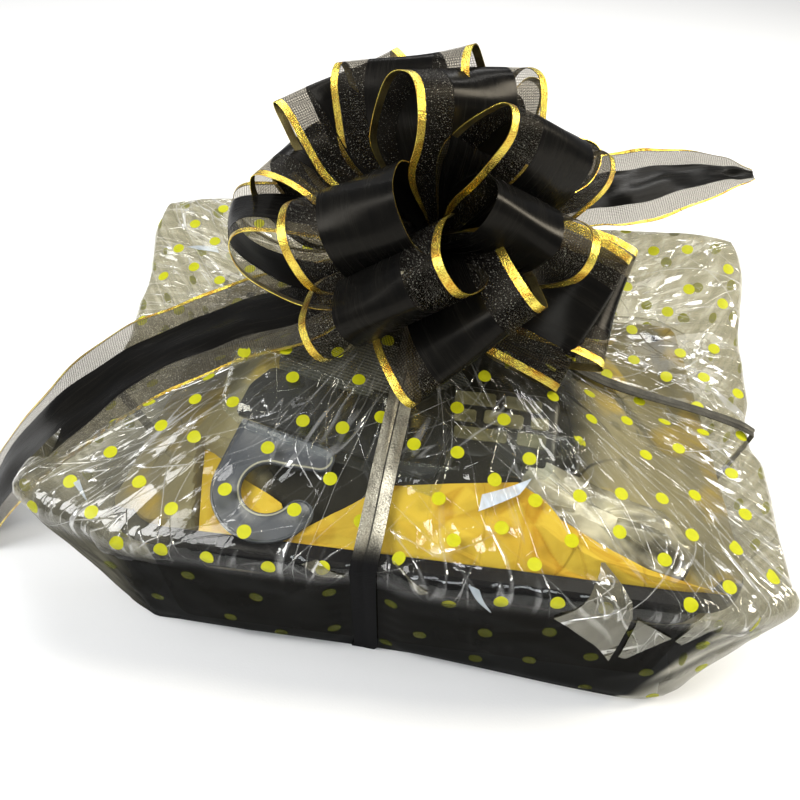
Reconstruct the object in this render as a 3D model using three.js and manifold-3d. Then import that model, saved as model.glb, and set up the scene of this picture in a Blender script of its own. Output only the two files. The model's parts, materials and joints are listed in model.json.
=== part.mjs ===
// Wrapped gift basket: a black tray of packed gifts and tissue, in dotted clear film that is
// gathered at the top, tied crosswise with ribbon and finished with a pull bow.
// Millimetres, +Z up, X to the right along the front, Y to the back.
// The origin is the middle of the tray's underside, on the surface that the basket stands on.
import * as THREE from 'three';
import { mergeVertices } from 'three/addons/utils/BufferGeometryUtils.js';
import Module from 'manifold-3d';

const wasm = await Module();
wasm.setup();

// Gap kept between pieces that touch, and the wider room that is cut for soft ones.
const GAP = 0.3;
const SOFT_GAP = 2 * GAP;
const ROUND_SEGMENTS = 24;
const ARC_SEGMENTS = 9;

// Tray: outer sizes at the rim and at the base, and the moulded wall.
const TRAY_RIM_WIDTH = 270;
const TRAY_RIM_DEPTH = 215;
const TRAY_BASE_WIDTH = 237;
const TRAY_BASE_DEPTH = 182;
const TRAY_HEIGHT = 70;
const TRAY_WALL = 2.4;
const TRAY_LIP_WIDTH = 5;
const TRAY_LIP_DEPTH = 3.5;
const TRAY_RIM_RADIUS = 20;
const TRAY_BASE_RADIUS = 14;
const CORNER_STEPS = 5;

// Ribbon that ties the parcel crosswise, and the channels for it under the tray.
const TIE_WIDTH = 11;
const TIE_THICKNESS = 0.8;
const TIE_CHANNEL_DEPTH = 1.3;
const TIE_CHANNEL_PLAY = 2;
const TIE_FRONT_X = -22;
const TIE_SIDE_Y = -8;
const TIE_LIFT = 1;
const TIE_PRESS = 4;
const TIE_CROWN_REACH = 0.985;
const TIE_UNDER_Z = 0.65;
const TIE_COLLAR_THICKNESS = 3.2;
const TIE_COLLAR_HEIGHT = 6;
const TIE_COLLAR_RAISE = 0.6;

// Neck where the film is gathered under the bow.
const NECK = new THREE.Vector3(-12, 26, 130);
const NECK_RADIUS = 10;
const NECK_TOP = 135.6;

// Film: once round from the front left corner, seen from above. Each stop holds the outermost
// point of the film, the foot of the film on the table and how far the top sags on its way in.
const FILM_STOPS = [
  { edge: [-178, -90, 73], foot: [-127, -91], sag: 1 },
  { edge: [-140, -105, 70], foot: [-112, -94], sag: -3 },
  { edge: [-80, -111.5, 71], foot: [-75, -95], sag: -3 },
  { edge: [0, -112, 71], foot: [0, -96], sag: -1 },
  { edge: [80, -111.5, 71], foot: [70, -103], sag: -1 },
  { edge: [128, -108, 69], foot: [100, -105], sag: 0 },
  { edge: [156, -96, 67], foot: [114, -101], sag: 3 },
  { edge: [152, -60, 74], foot: [121.5, -62], sag: 6 },
  { edge: [151, -8, 84], foot: [122, -10], sag: 12 },
  { edge: [151, 51, 101], foot: [122, 45], sag: 12 },
  { edge: [149, 97, 131], foot: [118, 92], sag: 18 },
  { edge: [75, 113, 124], foot: [65, 95], sag: 13 },
  { edge: [0, 114, 122], foot: [0, 95.5], sag: 9 },
  { edge: [-85, 113, 125], foot: [-70, 95], sag: 14 },
  { edge: [-162, 105, 129], foot: [-118, 92], sag: 22 },
  { edge: [-168, 60, 99], foot: [-122, 50], sag: 12 },
  { edge: [-166, 18, 79], foot: [-122, 12], sag: 5 },
  { edge: [-172, -40, 73], foot: [-122, -40], sag: 3 },
];
const FILM_STEPS_PER_STOP = 3;
const FILM_SIDE_RINGS = [0.5, 1];
const FILM_RIM_REACH = 0.93;
const FILM_TOP_RINGS = [0, 0.12, 0.3, 0.5, 0.7, 0.87, 1];
const FILM_SLOPE_POWER = 1.03;
const FILM_CLEARANCE = 3;
const FILM_FOOT_Z = 0.4;
const STOP_PRECISION = 1e-6;

// Packs lie on one slope that follows the front of the film.
const SLOPE_RISE = 0.45;
const SLOPE_START_Y = -108;
const SLOPE_START_Z = 70.3;
const CARD_CORNER_X = -90;
const CARD_CORNER_Y = -51;
const CARD_TURN = THREE.MathUtils.degToRad(-14.4);
const CARD_LENGTH = 94;
const CARD_WIDTH = 28;
const CARD_THICKNESS = 2.4;
const CARD_CORNER_CUT = 6;
const HOOK_THICKNESS = 1.8;
const HOOK_CENTRE = [29, 28];
const HOOK_OUTER_RADIUS = 24.5;
const HOOK_INNER_RADIUS = 11.5;
const HOOK_TIP_ANGLE = THREE.MathUtils.degToRad(20);
const HOOK_BAR_RIGHT = 51;
const HOOK_BAR_TOP = 1.2;
const HOOK_BAR_HEIGHT = 12.5;
const CLOTHING = { length: 92, width: 38, thickness: 12, start: 2, sink: 8, roundness: 0.45, rings: 3 };
const PRINTED_BOX = { width: 54, depth: 38, height: 26, centre: [29, -32, 84], tilt: 23, turn: -3, dip: 0 };
const POUCH = {
  length: 92,
  width: 36,
  height: 25,
  centre: [72, -70, 72],
  tilt: 20,
  turn: -20,
  dip: -7,
  roundness: 0.55,
  rings: 5,
};
const SOFT_STEPS = 20;
const SOFT_POLE = 0.35;

// Tissue and filling: level at the rim, crown under the packs, and the sheet that rises in front.
const TISSUE_FLOOR_GAP = 0.4;
const TISSUE_RIM_DROP = 1.2;
const TISSUE_EDGE_DEPTH = 1;
const TISSUE_SINK = 5.5;
const TISSUE_CROWN = 33;
const TISSUE_SLOPE = 0.43;
const TISSUE_SLOPE_START_Y = -102;
const TISSUE_RINGS = 7;
const TISSUE_BACK_FALL = { from: 5, to: 96, share: 0.8 };
const TISSUE_SIDE_FALL = { from: 72, to: 124, share: 0.85, middle: -5 };
const TISSUE_CREASE = { height: 0.9, alongX: 0.16, alongY: 0.13, skewX: 0.04, skewY: 0.05 };
const TISSUE_SHEET = {
  rise: 11,
  front: -108,
  crest: -92,
  back: -61,
  backFade: 9,
  left: [-74, -26],
  right: [74, 138],
};

// Bow: knot, ribbon and loops.
const KNOT = new THREE.Vector3(-12, 28, 150);
const KNOT_RADIUS = 20;
const KNOT_HALF_HEIGHT = 14;
const RIBBON_WIDTH = 70;
const RIBBON_THICKNESS = 0.9;
const RIBBON_PINCH = 0.1;
const RIBBON_PINCH_REACH = 0.6;
const LOOP_STEPS = 11;
const LOOP_START = 0.8;
const LOOP_PROBE = 0.02;

// Each loop: heading round Z from +X, lift above level, roll of the ribbon about the heading,
// reach from the knot, half opening and the bend of its far end across the ribbon. Where it lies
// against another soft piece, that piece is cut back from it.
const LOOPS = [
  { heading: -113, lift: 31, roll: 33, reach: 84, opening: 26, bend: -2 },
  { heading: -101, lift: 7, roll: 37, reach: 90, opening: 20, bend: -1 },
  { heading: -78, lift: -1, roll: 44, reach: 87, opening: 16, bend: -7 },
  { heading: -24, lift: -10, roll: 48, reach: 87, opening: 13, bend: -1, against: 'film' },
  { heading: -6, lift: -17, roll: 27, reach: 93, opening: 11, bend: 12, against: 'right tail' },
  { heading: -52, lift: 35, roll: -33, reach: 81, opening: 19, bend: -6 },
  { heading: -22, lift: 46, roll: -37, reach: 85, opening: 18, bend: 4 },
  { heading: 8, lift: 83, roll: -59, reach: 82, opening: 21, bend: -3 },
  { heading: 145, lift: 73, roll: 103, reach: 84, opening: 13, bend: -1 },
  { heading: 145, lift: 42, roll: 161, reach: 89, opening: 7, bend: -5 },
  { heading: -164, lift: -10, roll: 186, reach: 91, opening: 22, bend: -26, against: 'left tail' },
  { heading: 160, lift: 17, roll: 170, reach: 84, opening: 18, bend: -6 },
  { heading: 47, lift: 11, roll: -40, reach: 86, opening: 16, bend: 0, against: 'right tail' },
  { heading: 67, lift: 30, roll: -54, reach: 85, opening: 13, bend: 0 },
  { heading: 99, lift: 8, roll: -53, reach: 86, opening: 13, bend: 0 },
  { heading: 137, lift: 12, roll: -9, reach: 86, opening: 14, bend: 0 },
];

// Loose ends of the bow's ribbon: front and back edge of the ribbon along its run.
const TAIL_THICKNESS = 0.9;
const TAIL_STEPS = 18;
const TAIL_LEFT = [
  { front: [-31, 8, 141], back: [-39, 30, 143] },
  { front: [-54, -24, 125], back: [-85, 29, 127] },
  { front: [-91, -18, 104], back: [-116, 40, 108] },
  { front: [-114, -26, 95], back: [-138, 32, 99] },
  { front: [-134, -41, 88], back: [-161, 19, 92] },
  { front: [-148, -58, 81], back: [-181, 3, 82] },
  { front: [-162, -76, 75], back: [-198, -16, 69] },
  { front: [-199, -66, 33], back: [-226, -18, 36] },
  { front: [-222, -69, 1.5], back: [-247, -27, 3.5] },
];
const TAIL_RIGHT = [
  { front: [14, 36, 147], back: [6, 50, 150] },
  { front: [44, 60, 146], back: [30, 103, 155] },
  { front: [75, 84, 142], back: [68, 142, 157] },
  { front: [95, 84, 146], back: [88, 141, 163] },
  { front: [122, 99, 152], back: [112, 142, 166] },
  { front: [148, 116, 157], back: [142, 143, 164] },
  { front: [160, 127, 159], back: [159, 135, 162] },
];

const COLOURS = {
  trayBlack: 0x15161a,
  tissueYellow: 0xf2c838,
  cardBlack: 0x17181a,
  hookGrey: 0x767b84,
  clothGrey: 0x34342f,
  packDark: 0x26251f,
  pouchDark: 0x2a2b2c,
  filmClear: 0xcfcdb4,
  tieSilver: 0x77756e,
  satinBlack: 0x14120f,
};

// Closed surface through rings of equal point counts, each end closed by a fan on its middle.
function loftGeometry(rings) {
  const count = rings[0].length;
  const positions = [];
  const indices = [];
  rings.forEach((ring) => ring.forEach((point) => positions.push(point.x, point.y, point.z)));
  for (let ring = 0; ring < rings.length - 1; ring += 1) {
    for (let step = 0; step < count; step += 1) {
      const next = (step + 1) % count;
      const a = ring * count + step;
      const b = ring * count + next;
      indices.push(a, b, b + count, a, b + count, a + count);
    }
  }
  const closeEnd = (ring, flipped) => {
    const middle = new THREE.Vector3();
    rings[ring].forEach((point) => middle.add(point));
    middle.divideScalar(count);
    const hub = positions.length / 3;
    positions.push(middle.x, middle.y, middle.z);
    for (let step = 0; step < count; step += 1) {
      const a = ring * count + step;
      const b = ring * count + ((step + 1) % count);
      indices.push(...(flipped ? [hub, b, a] : [hub, a, b]));
    }
  };
  closeEnd(0, true);
  closeEnd(rings.length - 1, false);
  const geometry = new THREE.BufferGeometry();
  geometry.setAttribute('position', new THREE.Float32BufferAttribute(positions, 3));
  geometry.setIndex(indices);
  return geometry;
}

// Six times the volume inside a closed geometry, negative where its faces point inwards.
function signedVolume(geometry) {
  const corners = [0, 1, 2].map(() => new THREE.Vector3());
  const index = geometry.index.array;
  let total = 0;
  for (let start = 0; start < index.length; start += 3) {
    corners.forEach((corner, offset) => {
      corner.fromBufferAttribute(geometry.attributes.position, index[start + offset]);
    });
    total += corners[0].dot(corners[1].clone().cross(corners[2]));
  }
  return total;
}

// Solid that can be joined and cut, from any closed geometry, with its faces turned outwards.
function solidOf(source) {
  const bare = source.clone();
  bare.deleteAttribute('normal');
  bare.deleteAttribute('uv');
  const merged = mergeVertices(bare, 1e-4);
  const triangles = Uint32Array.from(merged.index.array);
  if (signedVolume(merged) < 0) {
    triangles.reverse();
  }
  return new wasm.Manifold(new wasm.Mesh({
    numProp: 3,
    vertProperties: Float32Array.from(merged.attributes.position.array),
    triVerts: triangles,
  }));
}

function geometryOf(solid) {
  const mesh = solid.getMesh();
  const geometry = new THREE.BufferGeometry();
  geometry.setAttribute('position', new THREE.Float32BufferAttribute(mesh.vertProperties, 3));
  geometry.setIndex(Array.from(mesh.triVerts));
  return geometry;
}

// Largest connected outer skin, with any hollow that joining sealed filled in.
function largestBody(solid) {
  const bodies = solid.decompose();
  return bodies.reduce((best, body) => (body.volume() > best.volume() ? body : best));
}

function smoothStep(value, low, high) {
  return THREE.MathUtils.smoothstep(value, low, high);
}

// Rounded rectangle centred on the origin at one height, anticlockwise from the right side.
function roundedRing(width, depth, radius, z) {
  const ring = [];
  const corners = [[1, 1, 0], [-1, 1, 1], [-1, -1, 2], [1, -1, 3]];
  corners.forEach(([sideX, sideY, quarter]) => {
    for (let step = 0; step <= CORNER_STEPS; step += 1) {
      const angle = (quarter + step / CORNER_STEPS) * (Math.PI / 2);
      ring.push(new THREE.Vector3(
        sideX * (width / 2 - radius) + radius * Math.cos(angle),
        sideY * (depth / 2 - radius) + radius * Math.sin(angle),
        z,
      ));
    }
  });
  return ring;
}

// Outer ring of the tray's tapered wall at one height, moved outwards by a margin.
function trayRing(z, margin) {
  const up = z / TRAY_HEIGHT;
  const lipless = 2 * TRAY_LIP_WIDTH;
  const width = THREE.MathUtils.lerp(TRAY_BASE_WIDTH, TRAY_RIM_WIDTH - lipless, up) + 2 * margin;
  const depth = THREE.MathUtils.lerp(TRAY_BASE_DEPTH, TRAY_RIM_DEPTH - lipless, up) + 2 * margin;
  const radius = THREE.MathUtils.lerp(TRAY_BASE_RADIUS, TRAY_RIM_RADIUS, up) + margin;
  return roundedRing(width, depth, radius, z);
}

function lipRing(z, margin) {
  return roundedRing(
    TRAY_RIM_WIDTH + 2 * margin,
    TRAY_RIM_DEPTH + 2 * margin,
    TRAY_RIM_RADIUS + TRAY_LIP_WIDTH / 2 + margin,
    z,
  );
}

function boxSolid(width, depth, height, x, y, z) {
  const box = new THREE.BoxGeometry(width, depth, height);
  box.translate(x, y, z);
  return solidOf(box);
}

function buildTray() {
  const lipUnder = TRAY_HEIGHT - TRAY_LIP_DEPTH;
  const shell = solidOf(loftGeometry([
    trayRing(0, 0),
    trayRing(lipUnder, 0),
    lipRing(lipUnder, 0),
    lipRing(TRAY_HEIGHT, 0),
    trayRing(TRAY_HEIGHT, -TRAY_WALL),
    trayRing(TRAY_WALL, -TRAY_WALL),
  ]));
  const channelWidth = TIE_WIDTH + TIE_CHANNEL_PLAY;
  const channelHeight = 2 * TIE_CHANNEL_DEPTH;
  const alongY = boxSolid(channelWidth, TRAY_RIM_DEPTH, channelHeight, TIE_FRONT_X, 0, 0);
  const alongX = boxSolid(TRAY_RIM_WIDTH, channelWidth, channelHeight, 0, TIE_SIDE_Y, 0);
  return shell.subtract(alongY).subtract(alongX);
}

// Space that the tray and its filling take inside the film, up to the rim.
function traySpace(margin) {
  const lipUnder = TRAY_HEIGHT - TRAY_LIP_DEPTH - margin;
  return solidOf(loftGeometry([
    trayRing(0, margin).map((point) => point.setZ(-GAP * 4)),
    trayRing(lipUnder, margin),
    lipRing(lipUnder, margin),
    lipRing(TRAY_HEIGHT + margin, margin),
  ]));
}

// Closed Catmull-Rom curve through the film's stops, on any list of numbers.
function stopValues(position, read) {
  const count = FILM_STOPS.length;
  const whole = Math.floor(position);
  const t = position - whole;
  const at = (offset) => read(FILM_STOPS[(whole + offset + count) % count]);
  const [before, from, to, after] = [at(-1), at(0), at(1), at(2)];
  return from.map((value, axis) => {
    const slopeIn = (to[axis] - before[axis]) / 2;
    const slopeOut = (after[axis] - value) / 2;
    const rise = to[axis] - value;
    return value + slopeIn * t
      + (3 * rise - 2 * slopeIn - slopeOut) * t * t
      + (slopeIn + slopeOut - 2 * rise) * t * t * t;
  });
}

// Moves a point of the film outwards where it would cut the tray.
function clearOfTray(point) {
  const up = THREE.MathUtils.clamp(point.z / TRAY_HEIGHT, 0, 1);
  const nearRim = point.z > TRAY_HEIGHT - 3 * TRAY_LIP_DEPTH && point.z < TRAY_HEIGHT + TRAY_LIP_DEPTH;
  const beyondLip = point.z >= TRAY_HEIGHT + TRAY_LIP_DEPTH;
  const lip = nearRim ? 0 : TRAY_LIP_WIDTH;
  const halfX = THREE.MathUtils.lerp(TRAY_BASE_WIDTH, TRAY_RIM_WIDTH, up) / 2 - lip * up + FILM_CLEARANCE;
  const halfY = THREE.MathUtils.lerp(TRAY_BASE_DEPTH, TRAY_RIM_DEPTH, up) / 2 - lip * up + FILM_CLEARANCE;
  const shortX = halfX - Math.abs(point.x);
  const shortY = halfY - Math.abs(point.y);
  if (beyondLip || shortX <= 0 || shortY <= 0) {
    return point;
  }
  if (shortX < shortY) {
    point.x += Math.sign(point.x) * shortX;
  } else {
    point.y += Math.sign(point.y) * shortY;
  }
  return point;
}

// Heights of the film's side between its foot and its edge, the last of them at the tray's rim.
function sideLevels(position) {
  const [edgeZ] = stopValues(position, (stop) => [stop.edge[2]]);
  const rim = Math.min(FILM_RIM_REACH, (TRAY_HEIGHT - TRAY_LIP_DEPTH / 2) / edgeZ);
  return FILM_SIDE_RINGS.map((level) => level * rim);
}

// Point of the film's side: up is 0 at the foot and 1 at the outermost edge.
function filmSide(position, up) {
  const edge = stopValues(position, (stop) => stop.edge);
  const foot = stopValues(position, (stop) => stop.foot);
  return clearOfTray(new THREE.Vector3(
    THREE.MathUtils.lerp(foot[0], edge[0], up),
    THREE.MathUtils.lerp(foot[1], edge[1], up),
    THREE.MathUtils.lerp(FILM_FOOT_Z, edge[2], up),
  ));
}

// Point of the film's top: inward is 0 at the outermost edge and 1 at the neck.
function filmTop(position, inward) {
  const edge = new THREE.Vector3(...stopValues(position, (stop) => stop.edge));
  const [sag] = stopValues(position, (stop) => [stop.sag]);
  const outwards = new THREE.Vector3(edge.x - NECK.x, edge.y - NECK.y, 0).setLength(NECK_RADIUS);
  const gathered = NECK.clone().add(outwards);
  const point = edge.clone().lerp(gathered, inward);
  point.z = THREE.MathUtils.lerp(edge.z, gathered.z, inward ** FILM_SLOPE_POWER)
    - sag * Math.sin(Math.PI * inward) ** 2;
  return point;
}

function filmRing(make) {
  const count = FILM_STOPS.length * FILM_STEPS_PER_STOP;
  return Array.from({ length: count }, (unused, step) => make(step / FILM_STEPS_PER_STOP));
}

function filmPillow() {
  const rings = [
    filmRing((position) => filmSide(position, 0)),
    ...FILM_SIDE_RINGS.map((level, row) => filmRing((position) => (
      filmSide(position, sideLevels(position)[row])
    ))),
    ...FILM_TOP_RINGS.map((inward) => filmRing((position) => filmTop(position, inward))),
  ];
  const neck = rings[rings.length - 1];
  rings.push(neck.map((point) => point.clone().setZ(NECK_TOP)));
  return solidOf(loftGeometry(rings));
}

// Where along the film's stops its edge crosses a line of constant x or y.
function crossing(axis, value, from, to) {
  let low = from;
  let high = to;
  const side = (position) => stopValues(position, (stop) => stop.edge)[axis] - value;
  const startsBelow = side(low) < 0;
  while (high - low > STOP_PRECISION) {
    const middle = (low + high) / 2;
    if ((side(middle) < 0) === startsBelow) {
      low = middle;
    } else {
      high = middle;
    }
  }
  return low;
}

// Direction of a run of points at one of them, halfway between its two segments, and how much
// longer an offset is there so that the segments keep their thickness.
function runDirection(points, step) {
  const here = points[step];
  const arriving = here.clone().sub(points[Math.max(step - 1, 0)]).normalize();
  const leaving = points[Math.min(step + 1, points.length - 1)].clone().sub(here).normalize();
  const along = arriving.clone().add(leaving).normalize();
  const mitre = 1 / Math.max(along.dot(arriving), along.dot(leaving));
  return { along, mitre };
}

// Flat band along a run of points, each with the direction that its outer face looks in.
function bandGeometry(run, width, under, over) {
  const points = run.map(({ point }) => point);
  const rings = run.map(({ point, outward }, step) => {
    const { along, mitre } = runDirection(points, step);
    const across = along.clone().cross(outward).normalize();
    const up = across.clone().cross(along).normalize();
    const corner = (side, lift) => point.clone()
      .addScaledVector(across, (side * width) / 2)
      .addScaledVector(up, lift * mitre);
    return [corner(-1, over), corner(-1, -under), corner(1, -under), corner(1, over)];
  });
  return loftGeometry(rings);
}

// Legs of the tie: where each crosses the film's edge, and the line that its foot stands on.
const TIE_LEGS = {
  front: { position: crossing(0, TIE_FRONT_X, 2, 3), axis: 'x', line: TIE_FRONT_X },
  back: { position: crossing(0, TIE_FRONT_X, 12, 13), axis: 'x', line: TIE_FRONT_X },
  right: { position: crossing(1, TIE_SIDE_Y, 7, 9), axis: 'y', line: TIE_SIDE_Y },
  left: { position: crossing(1, TIE_SIDE_Y, 16, 17), axis: 'y', line: TIE_SIDE_Y },
};

// Run of one leg from the knot over the film's top and down its side to its foot.
function tieRun({ position, axis, line }) {
  const samples = [TIE_CROWN_REACH, ...FILM_TOP_RINGS.slice(1, -1).reverse()]
    .map((inward) => filmTop(position, inward));
  samples.push(filmSide(position, 1));
  sideLevels(position).reverse().forEach((up) => samples.push(filmSide(position, up)));
  samples.push(filmSide(position, 0));
  samples.at(-1)[axis] = line;
  const middle = new THREE.Vector3(NECK.x, NECK.y, TRAY_HEIGHT / 2);
  return samples.map((point, step) => {
    const { along, mitre } = runDirection(samples, step);
    const away = point.clone().sub(middle);
    const outward = away.addScaledVector(along, -away.dot(along)).normalize();
    return { point: point.clone().addScaledVector(outward, TIE_LIFT * mitre), outward };
  });
}

// Ribbon under the tray, from foot to foot of the two legs that it joins.
function tieUnder(from, to, grow) {
  const outward = new THREE.Vector3(0, 0, -1);
  const run = [from, to].map((leg) => ({ point: tieRun(leg).at(-1).point.setZ(TIE_UNDER_Z), outward }));
  const half = TIE_THICKNESS / 2 + grow;
  return solidOf(bandGeometry(run, TIE_WIDTH + 2 * grow, half, half));
}

// Band round the neck of the film.
function tieCollar(grow) {
  const inner = NECK_RADIUS + GAP - grow;
  const outer = NECK_RADIUS + TIE_COLLAR_THICKNESS + grow;
  const half = TIE_COLLAR_HEIGHT / 2 + grow;
  const section = [[inner, -half], [outer, -half], [outer, half], [inner, half], [inner, -half]];
  const collar = new THREE.LatheGeometry(section.map(([x, y]) => new THREE.Vector2(x, y)), ROUND_SEGMENTS);
  collar.rotateX(Math.PI / 2);
  collar.translate(NECK.x, NECK.y, NECK.z + TIE_COLLAR_RAISE);
  return solidOf(collar);
}

// The whole tie, or with grow and press the room that it needs, pressed a little into the film.
function buildTie(grow = 0, press = 0) {
  const half = TIE_THICKNESS / 2 + grow;
  const legs = Object.values(TIE_LEGS)
    .map((leg) => solidOf(bandGeometry(tieRun(leg), TIE_WIDTH + 2 * grow, half, half + press)));
  const pieces = [
    ...legs,
    tieCollar(grow),
    tieUnder(TIE_LEGS.front, TIE_LEGS.back, grow),
    tieUnder(TIE_LEGS.right, TIE_LEGS.left, grow),
  ];
  const depth = TRAY_HEIGHT;
  const below = boxSolid(2 * TRAY_RIM_WIDTH, 2 * TRAY_RIM_DEPTH, depth, 0, 0, TIE_UNDER_Z - half - depth / 2);
  return pieces.reduce((whole, piece) => whole.add(piece)).subtract(below);
}

// Frame of the slope that the card, hook and clothing pack lie on.
function cardFrame(lift) {
  const normal = new THREE.Vector3(0, -SLOPE_RISE, 1).normalize();
  const level = new THREE.Vector3(Math.cos(CARD_TURN), Math.sin(CARD_TURN), 0);
  const along = level.addScaledVector(normal, -level.dot(normal)).normalize();
  const across = normal.clone().cross(along);
  const corner = new THREE.Vector3(
    CARD_CORNER_X,
    CARD_CORNER_Y,
    SLOPE_START_Z + SLOPE_RISE * (CARD_CORNER_Y - SLOPE_START_Y),
  );
  corner.addScaledVector(normal, lift);
  return new THREE.Matrix4().makeBasis(along, across, normal).setPosition(corner);
}

function extruded(shape, thickness, frame, grow = 0) {
  const geometry = new THREE.ExtrudeGeometry(shape, {
    depth: thickness + 2 * grow,
    bevelEnabled: false,
    curveSegments: ARC_SEGMENTS,
  });
  geometry.translate(0, 0, -thickness - grow);
  geometry.applyMatrix4(frame);
  return solidOf(geometry);
}

function cardShape(grow) {
  const shape = new THREE.Shape();
  shape.moveTo(-grow, -grow);
  shape.lineTo(CARD_LENGTH + grow, -grow);
  shape.lineTo(CARD_LENGTH + grow, CARD_WIDTH + grow);
  shape.lineTo(CARD_CORNER_CUT - grow, CARD_WIDTH + grow);
  shape.lineTo(-grow, CARD_WIDTH - 2 * CARD_CORNER_CUT);
  shape.closePath();
  return shape;
}

// Hook in the slope's plane: a bar along the card and an open round hook that swings below it.
function hookShape(grow) {
  const [centreX, centreY] = HOOK_CENTRE;
  const outer = HOOK_OUTER_RADIUS + grow;
  const inner = HOOK_INNER_RADIUS - grow;
  const barTop = -HOOK_BAR_TOP + grow;
  const barBottom = -HOOK_BAR_TOP - HOOK_BAR_HEIGHT - grow;
  const barRight = HOOK_BAR_RIGHT + grow;
  const endRadius = HOOK_BAR_HEIGHT / 2 + grow;
  const tip = -HOOK_TIP_ANGLE;
  const tipRadius = (outer - inner) / 2;
  const tipMiddle = (outer + inner) / 2;
  const innerStart = Math.asin(THREE.MathUtils.clamp((barBottom + centreY) / inner, -1, 1));
  const shape = new THREE.Shape();
  shape.moveTo(centreX - outer, barTop);
  shape.lineTo(barRight - endRadius, barTop);
  shape.absarc(barRight - endRadius, barTop - endRadius, endRadius, Math.PI / 2, -Math.PI / 2, true);
  shape.lineTo(centreX + inner * Math.cos(innerStart), -centreY + inner * Math.sin(innerStart));
  shape.absarc(centreX, -centreY, inner, innerStart, tip + 2 * Math.PI, false);
  shape.absarc(
    centreX + tipMiddle * Math.cos(tip),
    -centreY + tipMiddle * Math.sin(tip),
    tipRadius,
    tip + Math.PI,
    tip + 2 * Math.PI,
    true,
  );
  shape.absarc(centreX, -centreY, outer, tip, -Math.PI, true);
  shape.closePath();
  return shape;
}

function buildCard(grow = 0) {
  return extruded(cardShape(grow), CARD_THICKNESS, cardFrame(0), grow);
}

function buildHook(grow = 0) {
  return extruded(hookShape(grow), HOOK_THICKNESS, cardFrame(0), grow);
}

// Flat room that holds both the card and its hook.
function hangerRoom() {
  const bottom = -HOOK_CENTRE[1] - HOOK_OUTER_RADIUS - GAP;
  const left = HOOK_CENTRE[0] - HOOK_OUTER_RADIUS - GAP;
  const right = HOOK_CENTRE[0] + HOOK_OUTER_RADIUS + GAP;
  const shape = new THREE.Shape();
  shape.moveTo(-GAP, CARD_WIDTH + GAP);
  shape.lineTo(-GAP, -GAP);
  shape.lineTo(left, bottom);
  shape.lineTo(right, bottom);
  shape.lineTo(right, -GAP);
  shape.lineTo(CARD_LENGTH + GAP, -GAP);
  shape.lineTo(CARD_LENGTH + GAP, CARD_WIDTH + GAP);
  shape.closePath();
  return extruded(shape, CARD_THICKNESS, cardFrame(0), GAP);
}

// Rounded block, as a soft pack is: a superellipse in plan and a crowned top and bottom.
function softBlock(length, width, height, roundness, rings) {
  const plan = [];
  const squared = (value) => Math.sign(value) * Math.abs(value) ** roundness;
  for (let step = 0; step < SOFT_STEPS; step += 1) {
    const angle = (2 * Math.PI * step) / SOFT_STEPS;
    plan.push([squared(Math.cos(angle)), squared(Math.sin(angle))]);
  }
  const loft = [];
  for (let ring = 0; ring <= rings; ring += 1) {
    const angle = -Math.PI / 2 + (Math.PI * (ring + SOFT_POLE)) / (rings + 2 * SOFT_POLE);
    const spread = Math.cos(angle) ** roundness;
    const z = (height / 2) * Math.sin(angle);
    const halfLength = (spread * length) / 2;
    const halfWidth = (spread * width) / 2;
    loft.push(plan.map(([x, y]) => new THREE.Vector3(x * halfLength, y * halfWidth, z)));
  }
  return loftGeometry(loft);
}

function buildClothing(grow = 0) {
  const { length, width, thickness, start, sink, roundness, rings } = CLOTHING;
  const block = softBlock(length + 2 * grow, width + 2 * grow, thickness + 2 * grow, roundness, rings);
  block.translate(start + length / 2, CARD_WIDTH + width / 2 + GAP, -thickness / 2);
  block.applyMatrix4(cardFrame(-sink));
  return solidOf(block);
}

// Pack laid in its place: leant back, one end dipped, turned about Z and moved.
function turned(geometry, { centre, tilt, turn, dip }) {
  geometry.rotateX(THREE.MathUtils.degToRad(tilt));
  geometry.rotateY(THREE.MathUtils.degToRad(-dip));
  geometry.rotateZ(THREE.MathUtils.degToRad(turn));
  geometry.translate(...centre);
  return solidOf(geometry);
}

function buildPrintedBox(grow = 0) {
  const { width, depth, height } = PRINTED_BOX;
  const box = new THREE.BoxGeometry(width + 2 * grow, depth + 2 * grow, height + 2 * grow);
  return turned(box, PRINTED_BOX);
}

function buildPouch(grow = 0) {
  const { length, width, height, roundness, rings } = POUCH;
  const block = softBlock(length + 2 * grow, width + 2 * grow, height + 2 * grow, roundness, rings);
  return turned(block, POUCH);
}

// Height of the filling over a place inside the rim.
function fillingHeight(x, y) {
  const { height, alongX, alongY, skewX, skewY } = TISSUE_CREASE;
  const slope = THREE.MathUtils.clamp(TISSUE_SLOPE * (y - TISSUE_SLOPE_START_Y), 0, TISSUE_CROWN);
  const fall = ({ from, to, share }, distance) => 1 - share * smoothStep(distance, from, to);
  const aside = Math.abs(x - TISSUE_SIDE_FALL.middle);
  const crown = slope * fall(TISSUE_BACK_FALL, y) * fall(TISSUE_SIDE_FALL, aside);
  const crease = height * Math.sin(x * alongX + y * skewY) * Math.cos(y * alongY - x * skewX);
  return TRAY_HEIGHT - TISSUE_RIM_DROP - TISSUE_SINK + crown + crease;
}

// Height of the tissue with the sheet that stands up along the front.
function sheetHeight(x, y) {
  const { rise, front, crest, back, backFade, left, right } = TISSUE_SHEET;
  const ends = smoothStep(x, ...left) * (1 - smoothStep(x, ...right));
  const depth = smoothStep(y, front, crest) * (1 - smoothStep(y, back, back + backFade));
  return fillingHeight(x, y) + rise * ends * depth;
}

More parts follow.
